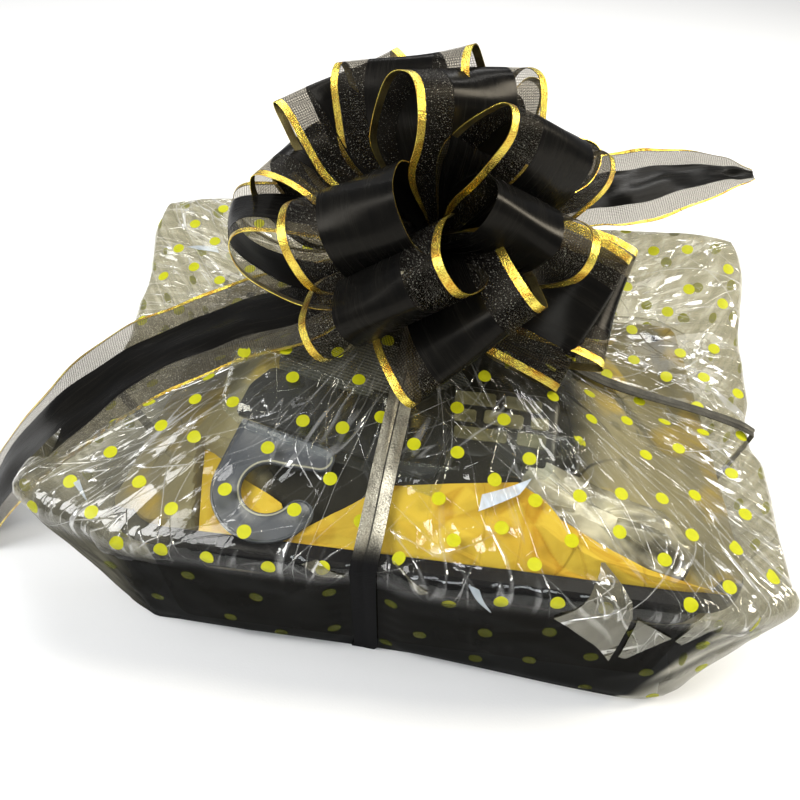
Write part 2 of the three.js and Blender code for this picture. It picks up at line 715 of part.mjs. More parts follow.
function buildTissue(grow = 0) {
  const floor = TRAY_WALL + TISSUE_FLOOR_GAP - grow;
  const inset = -TRAY_WALL - GAP + grow;
  const rim = trayRing(TRAY_HEIGHT - TISSUE_RIM_DROP - TISSUE_EDGE_DEPTH, inset);
  const rings = [trayRing(floor, inset), rim];
  for (let ring = 1; ring < TISSUE_RINGS; ring += 1) {
    const inward = 1 - ring / TISSUE_RINGS;
    rings.push(rim.map(({ x, y }) => new THREE.Vector3(
      x * inward,
      y * inward,
      sheetHeight(x * inward, y * inward) + grow,
    )));
  }
  return solidOf(loftGeometry(rings));
}

// Edge-to-edge frame of a loop: heading, direction across the ribbon, and the third axis.
function loopFrame({ heading, lift, roll }) {
  const turn = THREE.MathUtils.degToRad(heading);
  const rise = THREE.MathUtils.degToRad(lift);
  const twist = THREE.MathUtils.degToRad(roll);
  const out = new THREE.Vector3(
    Math.cos(rise) * Math.cos(turn),
    Math.cos(rise) * Math.sin(turn),
    Math.sin(rise),
  );
  const level = new THREE.Vector3(-Math.sin(turn), Math.cos(turn), 0);
  const upright = out.clone().cross(level);
  const across = level.multiplyScalar(Math.cos(twist)).addScaledVector(upright, Math.sin(twist));
  return { out, across, open: out.clone().cross(across) };
}

// One teardrop loop of ribbon, pinched where it meets the knot.
function loopSolid(loop, grow = 0) {
  const { out, across, open } = loopFrame(loop);
  const middle = (phase) => {
    const away = (1 - Math.cos(phase)) / 2;
    const apart = loop.opening * Math.sin(phase) * Math.sin(phase / 2) + loop.bend * away * away;
    return KNOT.clone().addScaledVector(out, loop.reach * away).addScaledVector(open, apart);
  };
  const rings = [];
  for (let step = 0; step <= LOOP_STEPS; step += 1) {
    const phase = THREE.MathUtils.lerp(LOOP_START, 2 * Math.PI - LOOP_START, step / LOOP_STEPS);
    const away = (1 - Math.cos(phase)) / 2;
    const spread = RIBBON_PINCH + (1 - RIBBON_PINCH) * smoothStep(away, 0, RIBBON_PINCH_REACH);
    const half = (RIBBON_WIDTH * spread) / 2 + grow;
    const along = middle(phase + LOOP_PROBE).sub(middle(phase - LOOP_PROBE)).normalize();
    const face = across.clone().cross(along).multiplyScalar(RIBBON_THICKNESS / 2 + grow);
    const edge = (side, lift) => middle(phase)
      .addScaledVector(across, side * half)
      .addScaledVector(face, lift);
    rings.push([edge(-1, 1), edge(-1, -1), edge(1, -1), edge(1, 1)]);
  }
  return solidOf(loftGeometry(rings));
}

function loopRoom(piece) {
  return LOOPS.filter(({ against }) => against === piece)
    .map((loop) => loopSolid(loop, SOFT_GAP))
    .reduce((whole, room) => whole.add(room));
}

function buildBow() {
  const knot = new THREE.SphereGeometry(1, ROUND_SEGMENTS, ROUND_SEGMENTS / 2);
  knot.rotateX(Math.PI / 2);
  knot.scale(KNOT_RADIUS, KNOT_RADIUS, KNOT_HALF_HEIGHT);
  knot.translate(KNOT.x, KNOT.y, KNOT.z);
  const joined = LOOPS.map((loop) => loopSolid(loop)).reduce((whole, loop) => whole.add(loop), solidOf(knot));
  return largestBody(joined);
}

// Loose ribbon end, smooth between its stops, with both edges given.
function tailSolid(stops, grow = 0) {
  const curve = (side) => new THREE.CatmullRomCurve3(stops.map((stop) => new THREE.Vector3(...stop[side])));
  const front = curve('front');
  const back = curve('back');
  const rings = [];
  for (let step = 0; step <= TAIL_STEPS; step += 1) {
    const t = step / TAIL_STEPS;
    const near = front.getPoint(t);
    const far = back.getPoint(t);
    const widen = far.clone().sub(near).setLength(grow);
    near.sub(widen);
    far.add(widen);
    const along = front.getTangent(t).add(back.getTangent(t)).normalize();
    const face = along.cross(far.clone().sub(near)).normalize();
    if (face.z < 0) {
      face.negate();
    }
    const half = face.multiplyScalar(TAIL_THICKNESS / 2 + grow);
    rings.push([
      near.clone().add(half),
      near.clone().sub(half),
      far.clone().sub(half),
      far.clone().add(half),
    ]);
  }
  return solidOf(loftGeometry(rings));
}

function finish(colour, roughness, metalness = 0) {
  return new THREE.MeshStandardMaterial({ color: colour, roughness, metalness });
}

const group = new THREE.Group();

function addPiece(name, solid, material) {
  const mesh = new THREE.Mesh(geometryOf(solid), material);
  mesh.name = name;
  group.add(mesh);
}

function addBasket() {
  const printedBox = buildPrintedBox();
  const pouch = buildPouch().subtract(buildPrintedBox(GAP));
  const card = buildCard().subtract(buildPrintedBox(GAP));
  const clothing = buildClothing().subtract(buildPrintedBox(GAP)).subtract(buildCard(GAP));
  const packRoom = hangerRoom()
    .add(buildPrintedBox(GAP))
    .add(buildPouch(SOFT_GAP))
    .add(buildClothing(SOFT_GAP));
  const tissue = largestBody(buildTissue().subtract(packRoom));
  const contents = packRoom.add(buildTissue(GAP)).add(traySpace(GAP));
  const leftTail = largestBody(tailSolid(TAIL_LEFT).subtract(loopRoom('left tail')));
  const rightTail = largestBody(tailSolid(TAIL_RIGHT).subtract(loopRoom('right tail')));
  const film = largestBody(filmPillow()
    .subtract(contents)
    .subtract(buildTie(SOFT_GAP, TIE_PRESS))
    .subtract(loopRoom('film'))
    .subtract(tailSolid(TAIL_LEFT, SOFT_GAP)));
  const clearSheet = finish(COLOURS.filmClear, 0.12);
  clearSheet.transparent = true;
  clearSheet.opacity = 0.35;

  addPiece('tray', buildTray(), finish(COLOURS.trayBlack, 0.3));
  addPiece('tissue', tissue, finish(COLOURS.tissueYellow, 0.75));
  addPiece('hanger_card', largestBody(card), finish(COLOURS.cardBlack, 0.4));
  addPiece('hanger_hook', buildHook(), finish(COLOURS.hookGrey, 0.35));
  addPiece('clothing_pack', largestBody(clothing), finish(COLOURS.clothGrey, 0.8));
  addPiece('printed_pack', printedBox, finish(COLOURS.packDark, 0.45));
  addPiece('pouch', largestBody(pouch), finish(COLOURS.pouchDark, 0.2));
  addPiece('film_wrap', film, clearSheet);
  addPiece('ribbon_tie', buildTie(), finish(COLOURS.tieSilver, 0.35, 0.3));
  addPiece('bow', buildBow(), finish(COLOURS.satinBlack, 0.35));
  addPiece('tail_left', leftTail, finish(COLOURS.satinBlack, 0.35));
  addPiece('tail_right', rightTail, finish(COLOURS.satinBlack, 0.35));
}

addBasket();

export default group;
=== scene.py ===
"""Looks of a wrapped gift basket.

A black tray of packed gifts on yellow tissue stands in clear dotted film. The film is gathered on top,
tied crosswise with silver ribbon and finished with a pull bow in black satin, sheer and gold.
Sizes are millimetres in the tray's own frame: X to the right along the front, Y to the back, Z up.
"""

import json
import logging
import math
from dataclasses import dataclass, field
from enum import Enum

import bpy
import numpy as np
from mathutils import Matrix, Vector, geometry
from mathutils.bvhtree import BVHTree

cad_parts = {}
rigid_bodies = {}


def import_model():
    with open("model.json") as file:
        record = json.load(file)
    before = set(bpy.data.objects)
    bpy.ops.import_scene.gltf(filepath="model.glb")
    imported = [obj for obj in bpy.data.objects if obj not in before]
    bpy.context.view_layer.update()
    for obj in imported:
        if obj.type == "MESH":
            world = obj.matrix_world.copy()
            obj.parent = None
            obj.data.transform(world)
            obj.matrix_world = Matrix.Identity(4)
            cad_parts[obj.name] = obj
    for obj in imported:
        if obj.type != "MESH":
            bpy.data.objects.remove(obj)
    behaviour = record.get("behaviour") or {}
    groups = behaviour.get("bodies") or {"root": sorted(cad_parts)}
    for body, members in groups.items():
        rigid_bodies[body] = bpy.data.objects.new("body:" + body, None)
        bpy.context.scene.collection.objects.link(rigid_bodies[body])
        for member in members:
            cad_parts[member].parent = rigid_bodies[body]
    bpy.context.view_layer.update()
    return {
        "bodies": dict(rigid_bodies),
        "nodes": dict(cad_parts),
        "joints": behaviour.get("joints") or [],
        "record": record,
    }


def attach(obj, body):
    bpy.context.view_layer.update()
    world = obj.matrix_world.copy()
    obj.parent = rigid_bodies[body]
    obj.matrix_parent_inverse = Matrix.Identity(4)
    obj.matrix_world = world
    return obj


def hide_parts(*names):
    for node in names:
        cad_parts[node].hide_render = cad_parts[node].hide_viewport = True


LOG = logging.getLogger("gift_basket")
MM = 0.001
BODY = "root"
FLAT_MAP = "flat"
FAR_BELOW = -50.0
FAR_ABOVE = 400.0
TINY = 1e-9

Array = np.ndarray
Pair = tuple[float, float]
Place = tuple[float, float, float]
Colour = tuple[float, float, float]
Socket = bpy.types.NodeSocket
Material = bpy.types.Material
Piece = bpy.types.Object


class Slot(Enum):
    """Material slots of the part."""

    TISSUE = "tissue_paper"
    CARD = "card"
    HOOK = "hook_plastic"
    CLOTH = "cloth"
    PRINTED = "printed_card"
    POUCH = "pouch_film"
    FILM = "clear_film"
    TIE = "tie_ribbon"
    RIBBON = "bow_ribbon"


class Mark(Enum):
    """Marks that the points of a piece carry for its finish."""

    # Painted shade on the tissue: its creases, facets turned from the light and the bed's shaded middle.
    FOLD = "fold"
    GATHER = "gather"
    # Painted shade on the film, its dots and the tie.
    SHADE = "shade"


def smooth_step(value: Array, low: float, high: float) -> Array:
    """Rise from 0 at a low value to 1 at a high one, level at both ends."""
    share = np.clip((np.asarray(value, float) - low) / (high - low), 0, 1)
    return share * share * (3 - 2 * share)


def fall(value: Array, low: float, high: float) -> Array:
    """Fall from 1 to 0 between two values, level at both ends."""
    return 1 - smooth_step(value, low, high)


def unit(vectors: Array) -> Array:
    """Vectors scaled to length 1, along their last axis."""
    return vectors / np.maximum(np.linalg.norm(vectors, axis=-1, keepdims=True), TINY)


def together(*parts: Array | float) -> Array:
    """Values side by side along a new last axis, each spread over the shape of all."""
    return np.stack(np.broadcast_arrays(*parts), axis=-1)


def full_turn(count: int) -> Array:
    """Angles of even places once round, in radians."""
    return np.linspace(0, 2 * math.pi, count, endpoint=False)


def bent(start: Array, end: Array, slope_in: Array, slope_out: Array, share: Array) -> Array:
    """Smooth run from a start to an end, by its slopes at both, read at shares of the way."""
    rise = end - start
    cubic = slope_in + slope_out - 2 * rise
    return start + slope_in * share + (3 * rise - 2 * slope_in - slope_out) * share**2 + cubic * share**3


def surface(tree: BVHTree, x: float, y: float, from_below: bool = False) -> float | None:
    """Height of a surface's highest or lowest face at a place, or None beside the surface."""
    start, way = (FAR_BELOW, 1) if from_below else (FAR_ABOVE, -1)
    hit = tree.ray_cast(Vector((x, y, start)), Vector((0, 0, way)))[0]
    return None if hit is None else hit.z


def rounded(corners: Array, radius: float, steps: int, power: float) -> Array:
    """Outline with its corners rounded or cut.

    Args:
        corners: Sharp corners, anticlockwise.
        radius: Length that is cut off beside each corner.
        steps: Points at each corner; two make a straight cut.
        power: How far the rounding is pushed out to the corner, where 1 is a straight cut.

    Returns:
        One row for each point.
    """
    points = []
    for index, corner in enumerate(corners):
        before = unit(corners[index - 1] - corner)
        after = unit(corners[(index + 1) % len(corners)] - corner)
        for share in np.linspace(0, 1, steps):
            points.append(corner + radius * (before * (1 - share) ** power + after * share**power))
    return np.array(points)


def grid_faces(rows: int, columns: int, wrap: bool = False) -> Array:
    """Quads over a grid of points that is stored row by row.

    Args:
        rows: Number of rows of points.
        columns: Number of points in a row.
        wrap: Whether the last column joins the first.

    Returns:
        One row of four point indices a quad.
    """
    across = np.arange(columns if wrap else columns - 1)
    beside = (across + 1) % columns
    low = np.arange(rows - 1)[:, None] * columns
    quads = np.stack([low + across, low + beside, low + columns + beside, low + columns + across], axis=-1)
    return quads.reshape(-1, 4)


def grid_border(rows: int, columns: int) -> Array:
    """Point indices round the outside of a grid."""
    index = np.arange(rows * columns).reshape(rows, columns)
    return np.concatenate([index[0], index[1:, -1], index[-1, -2::-1], index[-2:0:-1, 0]])


def grid_normals(points: Array, wrap: bool = False) -> Array:
    """Unit normals of a grid of points, from its columns' and rows' directions."""
    if wrap:
        along = np.roll(points, -1, axis=1) - np.roll(points, 1, axis=1)
    else:
        along = np.gradient(points, axis=1)
    return unit(np.cross(along, np.gradient(points, axis=0)))


@dataclass(frozen=True)
class CrumpleField:
    """Crumpled relief: flat facets between seeded points of uneven height."""

    seed: int
    spacing: float
    height: float
    stretch: float = 1.0
    unevenness: float = 0.42

    def over(self, columns: Array, rows: Array, wrap: bool = False) -> Array:
        """Height of the relief over a grid.

        Args:
            columns: Place of each column along the first direction, in rising order.
            rows: Place of each row along the second direction, in rising order.
            wrap: Whether the relief goes on from the last column to the first.

        Returns:
            Heights from 0 to the relief's own height, one row for each row of the grid.
        """
        random = np.random.default_rng(self.seed)
        width = columns[-1] - columns[0] + (columns[1] - columns[0] if wrap else 0)
        length = rows[-1] - rows[0]
        across = max(4, round(width / self.spacing))
        along = max(2, round(length / (self.spacing * self.stretch)))
        off = self.unevenness
        lines = []
        for row in range(-1, along + 2):
            drawn = random.uniform((-off, -off, 0), (off, off, 1), (across, 3))
            middles = np.arange(across) + 0.5
            line = together((middles + drawn[:, 0]) / across, (row + drawn[:, 1]) / along, drawn[:, 2])
            lines.extend([line[-2:] - (1, 0, 0), line, line[:2] + (1, 0, 0)])
        spots = np.concatenate(lines)
        spots[:, :2] = spots[:, :2] * (width, length) + (columns[0], rows[0])
        flat = [Vector(spot[:2]) for spot in spots]
        _, _, faces, origins, _, _ = geometry.delaunay_2d_cdt(flat, [], [], 0, 1e-6)
        heights = np.zeros((len(rows), len(columns)))
        for corners in faces:
            (ax, ay, az), (bx, by, bz), (cx, cy, cz) = spots[[origins[corner][0] for corner in corners]]
            first, last = np.searchsorted(columns, (min(ax, bx, cx), max(ax, bx, cx)))
            low, high = np.searchsorted(rows, (min(ay, by, cy), max(ay, by, cy)))
            area = (bx - ax) * (cy - ay) - (cx - ax) * (by - ay)
            if first == last or low == high or abs(area) < TINY:
                continue
            x = columns[None, first:last] - ax
            y = rows[low:high, None] - ay
            share_b = (x * (cy - ay) - (cx - ax) * y) / area
            share_c = ((bx - ax) * y - x * (by - ay)) / area
            inside = (share_b >= -1e-6) & (share_c >= -1e-6) & (share_b + share_c <= 1 + 1e-6)
            rise = az + share_b * (bz - az) + share_c * (cz - az)
            heights[low:high, first:last][inside] = rise[inside]
        return heights * self.height


def link(name: str, data: bpy.types.ID) -> Piece:
    """New object of the scene that shows some data."""
    piece = bpy.data.objects.new(name, data)
    bpy.context.scene.collection.objects.link(piece)
    return piece


@dataclass
class Skin:
    """Points and faces of one piece while it is put together."""

    points: list[Array] = field(default_factory=list)
    faces: list[tuple[int, ...]] = field(default_factory=list)
    finishes: list[int] = field(default_factory=list)
    flats: list[Array] = field(default_factory=list)
    marks: dict[Mark, list[Array]] = field(default_factory=lambda: {mark: [] for mark in Mark})
    count: int = 0

    def add(
        self, points: Array, faces: Array, finishes: int | Array = 0, flat: Array | None = None,
        marks: dict[Mark, Array] | None = None,
    ) -> None:
        """Add points and the faces between them.

        Args:
            points: Places in millimetres, in any number of rows.
            faces: Point indices of each face, from 0 at the first of these points.
            finishes: Index of the finish of each face, or one for all.
            flat: Place of each point on the flat material, in millimetres.
            marks: Strength of each mark at each point; a mark left out is 0.
        """
        self.points.append(np.asarray(points, float).reshape(-1, 3))
        total = len(self.points[-1])
        self.faces.extend(map(tuple, (np.asarray(faces) + self.count).tolist()))
        self.finishes.extend(np.broadcast_to(finishes, (len(faces),)).tolist())
        self.flats.append(np.zeros((total, 2)) if flat is None else flat.reshape(-1, 2))
        for mark in Mark:
            self.marks[mark].append((marks or {}).get(mark, np.zeros(total)).ravel())
        self.count += total

    def add_rings(
        self, rings: Array, flat: Array, finishes: int | Array = 0, caps: tuple[int, int] = (0, 0)
    ) -> None:
        """Add rings of points, the faces between them and a flat cap at both ends.

        Args:
            rings: Places of the points, ring by ring.
            flat: Place of each point on the flat material.
            finishes: Index of the finish of each face between the rings, or one for all.
            caps: Index of the finish of the first and of the last cap.
        """
        rows, around = rings.shape[:2]
        first = self.count
        last = first + (rows - 1) * around
        self.add(rings, grid_faces(rows, around, wrap=True), finishes, flat)
        self.faces.append(tuple(range(first + around - 1, first - 1, -1)))
        self.faces.append(tuple(range(last, last + around)))
        self.finishes.extend(caps)

    def add_slab(
        self, middle: Array, half: Array, flat: Array, upper: int | Array = 0, lower: int | Array = 0,
        marks: dict[Mark, Array] | None = None,
    ) -> None:
        """Add a thin closed slab round a grid of points.

        Args:
            middle: Grid of places in the middle of the slab.
            half: Way from there to its upper side.
            flat: Place of each grid point on the flat material.
            upper: Finish of each strip between two columns on the upper side, or one for all.
            lower: Finish of each strip on the lower side.
            marks: Strength of each mark at each point of both sides.
        """
        rows, columns = middle.shape[:2]
        under = rows * columns
        front = grid_faces(rows, columns)
        border = grid_border(rows, columns)
        onward = np.roll(border, -1)
        rim = np.stack([onward, border, border + under, onward + under], axis=-1)
        sides = [np.tile(np.broadcast_to(kind, (columns - 1,)), rows - 1) for kind in (upper, lower)]
        finishes = np.concatenate([*sides, np.full(len(rim), sides[0][0])])
        faces = np.concatenate([front, front[:, ::-1] + under, rim])
        self.add(np.stack([middle + half, middle - half]), faces, finishes, np.stack([flat, flat]), marks)

    def make(self, name: str, materials: list[Material], crease: float = 35) -> Piece:
        """Make the Blender object.

        Args:
            name: Name of the piece.
            materials: Its finishes, in the order of their indices.
            crease: Angle in degrees over which an edge stays sharp.

        Returns:
            The new object, linked to the scene.
        """
        mesh = bpy.data.meshes.new(name)
        mesh.from_pydata((np.concatenate(self.points) * MM).tolist(), [], self.faces)
        for material in materials:
            mesh.materials.append(material)
        mesh.polygons.foreach_set("material_index", np.array(self.finishes, np.int32))
        mesh.polygons.foreach_set("use_smooth", np.ones(len(self.faces), bool))
        corners = np.zeros(len(mesh.loops), np.int32)
        mesh.loops.foreach_get("vertex_index", corners)
        layer = mesh.uv_layers.new(name=FLAT_MAP)
        layer.data.foreach_set("uv", np.concatenate(self.flats)[corners].ravel().astype(np.float32))
        for mark, values in self.marks.items():
            attribute = mesh.attributes.new(mark.value, "FLOAT", "POINT")
            attribute.data.foreach_set("value", np.concatenate(values).astype(np.float32))
        mesh.validate()
        mesh.set_sharp_from_angle(angle=math.radians(crease))
        mesh.update()
        return link(name, mesh)

    def tree(self) -> BVHTree:
        """Search tree over the faces, in millimetres."""
        return BVHTree.FromPolygons(np.concatenate(self.points).tolist(), self.faces)


def settle(piece: Piece, slot: Slot, *nodes: str) -> Piece:
    """Fix a piece to the basket.

    Args:
        piece: The finished piece.
        slot: Material slot of the part; not used.
        nodes: Plain solids that it stands for.

    Returns:
        The same piece.
    """
    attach(piece, BODY)
    if nodes:
        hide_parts(*nodes)
    LOG.info("%s: %d faces", piece.name, len(piece.data.polygons))
    return piece


class Bench:
    """Node tree of one finish while it is put together."""

    def __init__(self, name: str) -> None:
        """Start an empty tree with its output."""
        self.material = bpy.data.materials.new(name)
        self.material.use_nodes = True
        self.tree = self.material.node_tree
        self.tree.nodes.clear()
        self.output = self.tree.nodes.new("ShaderNodeOutputMaterial")

    def feed(self, socket: Socket, value: object) -> None:
        """Give an input its value, its colour or the output that it follows."""
        if isinstance(value, Socket):
            self.tree.links.new(value, socket)
        elif socket.type == "RGBA":
            socket.default_value = (*value, 1.0)
        else:
            socket.default_value = value

    def put(self, kind: str, inputs: dict | None = None, **settings: object) -> bpy.types.Node:
        """Add a node.

        Args:
            kind: Node type, without its leading ShaderNode.
            inputs: Value of each input, or the output that feeds it, by name or number.
            settings: Other properties of the node.

        Returns:
            The new node.
        """
        node = self.tree.nodes.new(f"ShaderNode{kind}")
        for key, value in settings.items():
            setattr(node, key, value)
        for key, value in (inputs or {}).items():
            self.feed(node.inputs[key], value)
        return node

    def math(self, operation: str, *values: object) -> Socket:
        """Result of one sum on one, two or three values."""
        return self.put("Math", dict(enumerate(values)), operation=operation).outputs[0]

    def times(self, first: object, second: object, added: object = None) -> Socket:
        """Product of two values, with a third added to it where it is given."""
        if added is None:
            return self.math("MULTIPLY", first, second)
        return self.math("MULTIPLY_ADD", first, second, added)

    def flat(self, scale_x: float = 1.0, scale_y: float = 1.0, turn: float = 0.0) -> Socket:
        """Place on the flat material, turned by an angle in degrees and scaled along and across."""
        place = self.put("UVMap", uv_map=FLAT_MAP).outputs["UV"]
        if turn:
            place = self.put("Mapping", {"Vector": place, "Rotation": (0, 0, math.radians(turn))}).outputs[0]
        return self.put("Mapping", {"Vector": place, "Scale": (scale_x, scale_y, 1.0)}).outputs["Vector"]

    def cells(self, size: Pair, turn: float = 0.0) -> Socket:
        """Place on the flat material, counted in cells of a size in millimetres."""
        return self.flat(1 / size[0], 1 / size[1], turn)

    def solid(self) -> Socket:
        """Place in the basket, in metres."""
        return self.put("TexCoord").outputs["Object"]

    def noise(self, place: Socket, scale: float, detail: float = 2.0) -> Socket:
        """Soft random value from 0 to 1."""
        return self.put("TexNoise", {"Vector": place, "Scale": scale, "Detail": detail}).outputs["Fac"]

    def ramp(self, factor: Socket, *stops: tuple[float, Colour]) -> Socket:
        """Colour between stops of place and colour."""
        node = self.put("ValToRGB", {"Fac": factor})
        for element, (place, colour) in zip(node.color_ramp.elements, stops):
            element.position = place
            element.color = (*colour, 1.0)
        return node.outputs["Color"]

    def spread(self, value: object, low: float, high: float, to_low: float, to_high: float) -> Socket:
        """Value moved from one range into another and kept inside it."""
        inputs = {"Value": value, "From Min": low, "From Max": high, "To Min": to_low, "To Max": to_high}
        return self.put("MapRange", inputs, clamp=True).outputs["Result"]

    def where(self, mark: object, share: float) -> Socket:
        """Value that goes from 1 to a share where a mark goes from 0 to 1."""
        return self.spread(mark, 0.0, 1.0, 1.0, share)

    def bump(self, height: Socket, distance: float, strength: float = 1.0) -> Socket:
        """Normal over a relief of the given depth in metres."""
        inputs = {"Height": height, "Distance": distance, "Strength": strength}
        return self.put("Bump", inputs).outputs["Normal"]

    def waves(self, pitch: float) -> list[Socket]:
        """Even waves along and across the flat material, of a length in millimetres."""
        place = self.put("SeparateXYZ", {0: self.flat()})
        turn = 2 * math.pi / pitch
        return [self.math("SINE", self.times(place.outputs[axis], turn)) for axis in (0, 1)]

    def mark(self, mark: Mark) -> Socket:
        """Strength of a mark that the points carry."""
        return self.put("Attribute", attribute_name=mark.value).outputs["Fac"]

    def blend(self, factor: object, first: object, second: object) -> Socket:
        """Colour between two colours."""
        return self.put("Mix", {0: factor, 6: first, 7: second}, data_type="RGBA").outputs[2]

    def light(self, kind: str, colour: object, inputs: dict | None = None) -> Socket:
        """Light of a simple shader of one colour."""
        return self.put(f"Bsdf{kind}", {"Color": colour, **(inputs or {})}).outputs[0]

    def body(self, colour: object, roughness: object, gloss: float, others: dict | None = None) -> Socket:
        """Light of a solid surface, by its colour, roughness, gloss and other inputs."""
        inputs = {"Base Color": colour, "Roughness": roughness, "Specular IOR Level": gloss, **(others or {})}
        return self.put("BsdfPrincipled", inputs).outputs[0]

    def mix(self, share: object, first: Socket, second: Socket) -> Socket:
        """Light between two lights."""
        return self.put("MixShader", {0: share, 1: first, 2: second}).outputs[0]

    def dulled(self, shader: Socket, share: object) -> Socket:
        """Light mixed with that of matt black, by a share."""
        return self.mix(share, shader, self.light("Diffuse", (0.006, 0.006, 0.006)))

    def facets(self, place: Socket, tilt: Socket, normal: Socket) -> Socket:
        """Normal that leans another way, by a tilt, in every cell of the material."""
        cells = self.put("TexVoronoi", {"Vector": place, "Scale": 1.0}, feature="F1", voronoi_dimensions="2D")
        lean = self.put("VectorMath", {0: cells.outputs["Color"], 1: (0.5, 0.5, 0.5)}, operation="SUBTRACT")
        leant = self.put("VectorMath", {0: lean.outputs[0], "Scale": tilt}, operation="SCALE")
        return self.put("VectorMath", {0: leant.outputs[0], 1: normal}, operation="ADD").outputs[0]

    def broken(self, line: Socket, place: Socket, scale: float, start: float) -> Socket:
        """Lines that fade out here and there, in spots of a scale."""
        return self.times(line, self.spread(self.noise(place, scale), start, 0.62, 0.0, 1.0))

    def creases(self, place: Socket, width: float) -> Socket:
        """Thin lines between the cells of the material, 1 on the line and 0 off it."""
        kind = {"feature": "DISTANCE_TO_EDGE", "voronoi_dimensions": "2D"}
        cells = self.put("TexVoronoi", {"Vector": place, "Scale": 1.0}, **kind)
        line = self.spread(cells.outputs["Distance"], 0.0, width, 1.0, 0.0)
        return self.broken(line, place, 0.45, 0.42)

    def streaks(self, place: Socket, width: float) -> Socket:
        """Long thin lines where a soft random value passes its middle."""
        off = self.math("ABSOLUTE", self.math("SUBTRACT", self.noise(place, 1.0, 1.0), 0.5))
        return self.broken(self.spread(off, 0.0, width, 1.0, 0.0), place, 0.7, 0.46)


@dataclass(frozen=True)
class Look:
    """Finish of a piece, known by its name; each kind of finish says how its light is made."""

    name: str

    def light(self, bench: Bench) -> Socket:
        """Light of the finish."""
        raise NotImplementedError

    def material(self) -> Material:
        """Make the finish."""
        bench = Bench(self.name)
        bench.feed(bench.output.inputs["Surface"], self.light(bench))
        return bench.material


@dataclass(frozen=True)
class GlossPlastic(Look):
    """Smooth moulded plastic with fine haze and a few rubbed patches, which on the pouch are painted
    highlights.
    """

    colour: Colour
    rubbed_and_sheen: Colour
    roughness: Pair = (0.16, 0.3)
    gloss: float = 0.5
    grain: float = 60.0
    depth: float = 0.00008

    def light(self, bench: Bench) -> Socket:
        """Light of clean plastic and its patches: rubbed ones, and painted highlights on the pouch."""
        place = bench.solid()
        patches = bench.noise(place, self.grain, 4.0)
        colour = bench.ramp(patches, (0.35, self.colour), (0.8, self.rubbed_and_sheen))
        roughness = bench.spread(patches, 0.3, 0.7, *self.roughness)
        normal = bench.bump(bench.noise(place, self.grain * 12), self.depth)
        return bench.body(colour, roughness, self.gloss, {"Normal": normal})


@dataclass(frozen=True)
class Tissue(Look):
    """Thin dyed tissue paper: matt, fibrous, creased and a little see-through, with painted shade in its
    creases and where it is marked.
    """

    paper: Colour
    deep_tone_and_shade: Colour
    glow: float = 0.25
    patch: Colour | None = None
    crease_pitch: Pair = (24.0, 34.0)
    patch_grain: float = 26.0

    def light(self, bench: Bench) -> Socket:
        """Light from the paper and through it, its colour deepened by random tone and by painted shade."""
        clouds = bench.noise(bench.solid(), 28.0, 3.0)
        fibres = bench.noise(bench.solid(), 900.0, 3.0)
        creases = bench.creases(bench.cells(self.crease_pitch), 0.03)
        fold = bench.mark(Mark.FOLD)
        # Painted shade: the creases and the tissue's shade mark (the fold attribute) pull the colour to the
        # deep one; the clouds add random tone.
        shade = bench.times(creases, 0.3, bench.times(clouds, 0.35, fold))
        colour = bench.ramp(shade, (0.2, self.paper), (1.0, self.deep_tone_and_shade))
        if self.patch is not None:
            spots = bench.spread(bench.noise(bench.solid(), self.patch_grain), 0.52, 0.6, 0.0, 0.8)
            spots = bench.times(spots, bench.spread(fold, 0.0, 0.7, 1.0, 0.0))
            colour = bench.blend(spots, colour, self.patch)
        normal = {"Normal": bench.bump(bench.times(fibres, 0.08, creases), 0.0006)}
        through = bench.light("Translucent", colour, normal)
        return bench.mix(self.glow, bench.body(colour, 0.72, 0.25, normal), through)


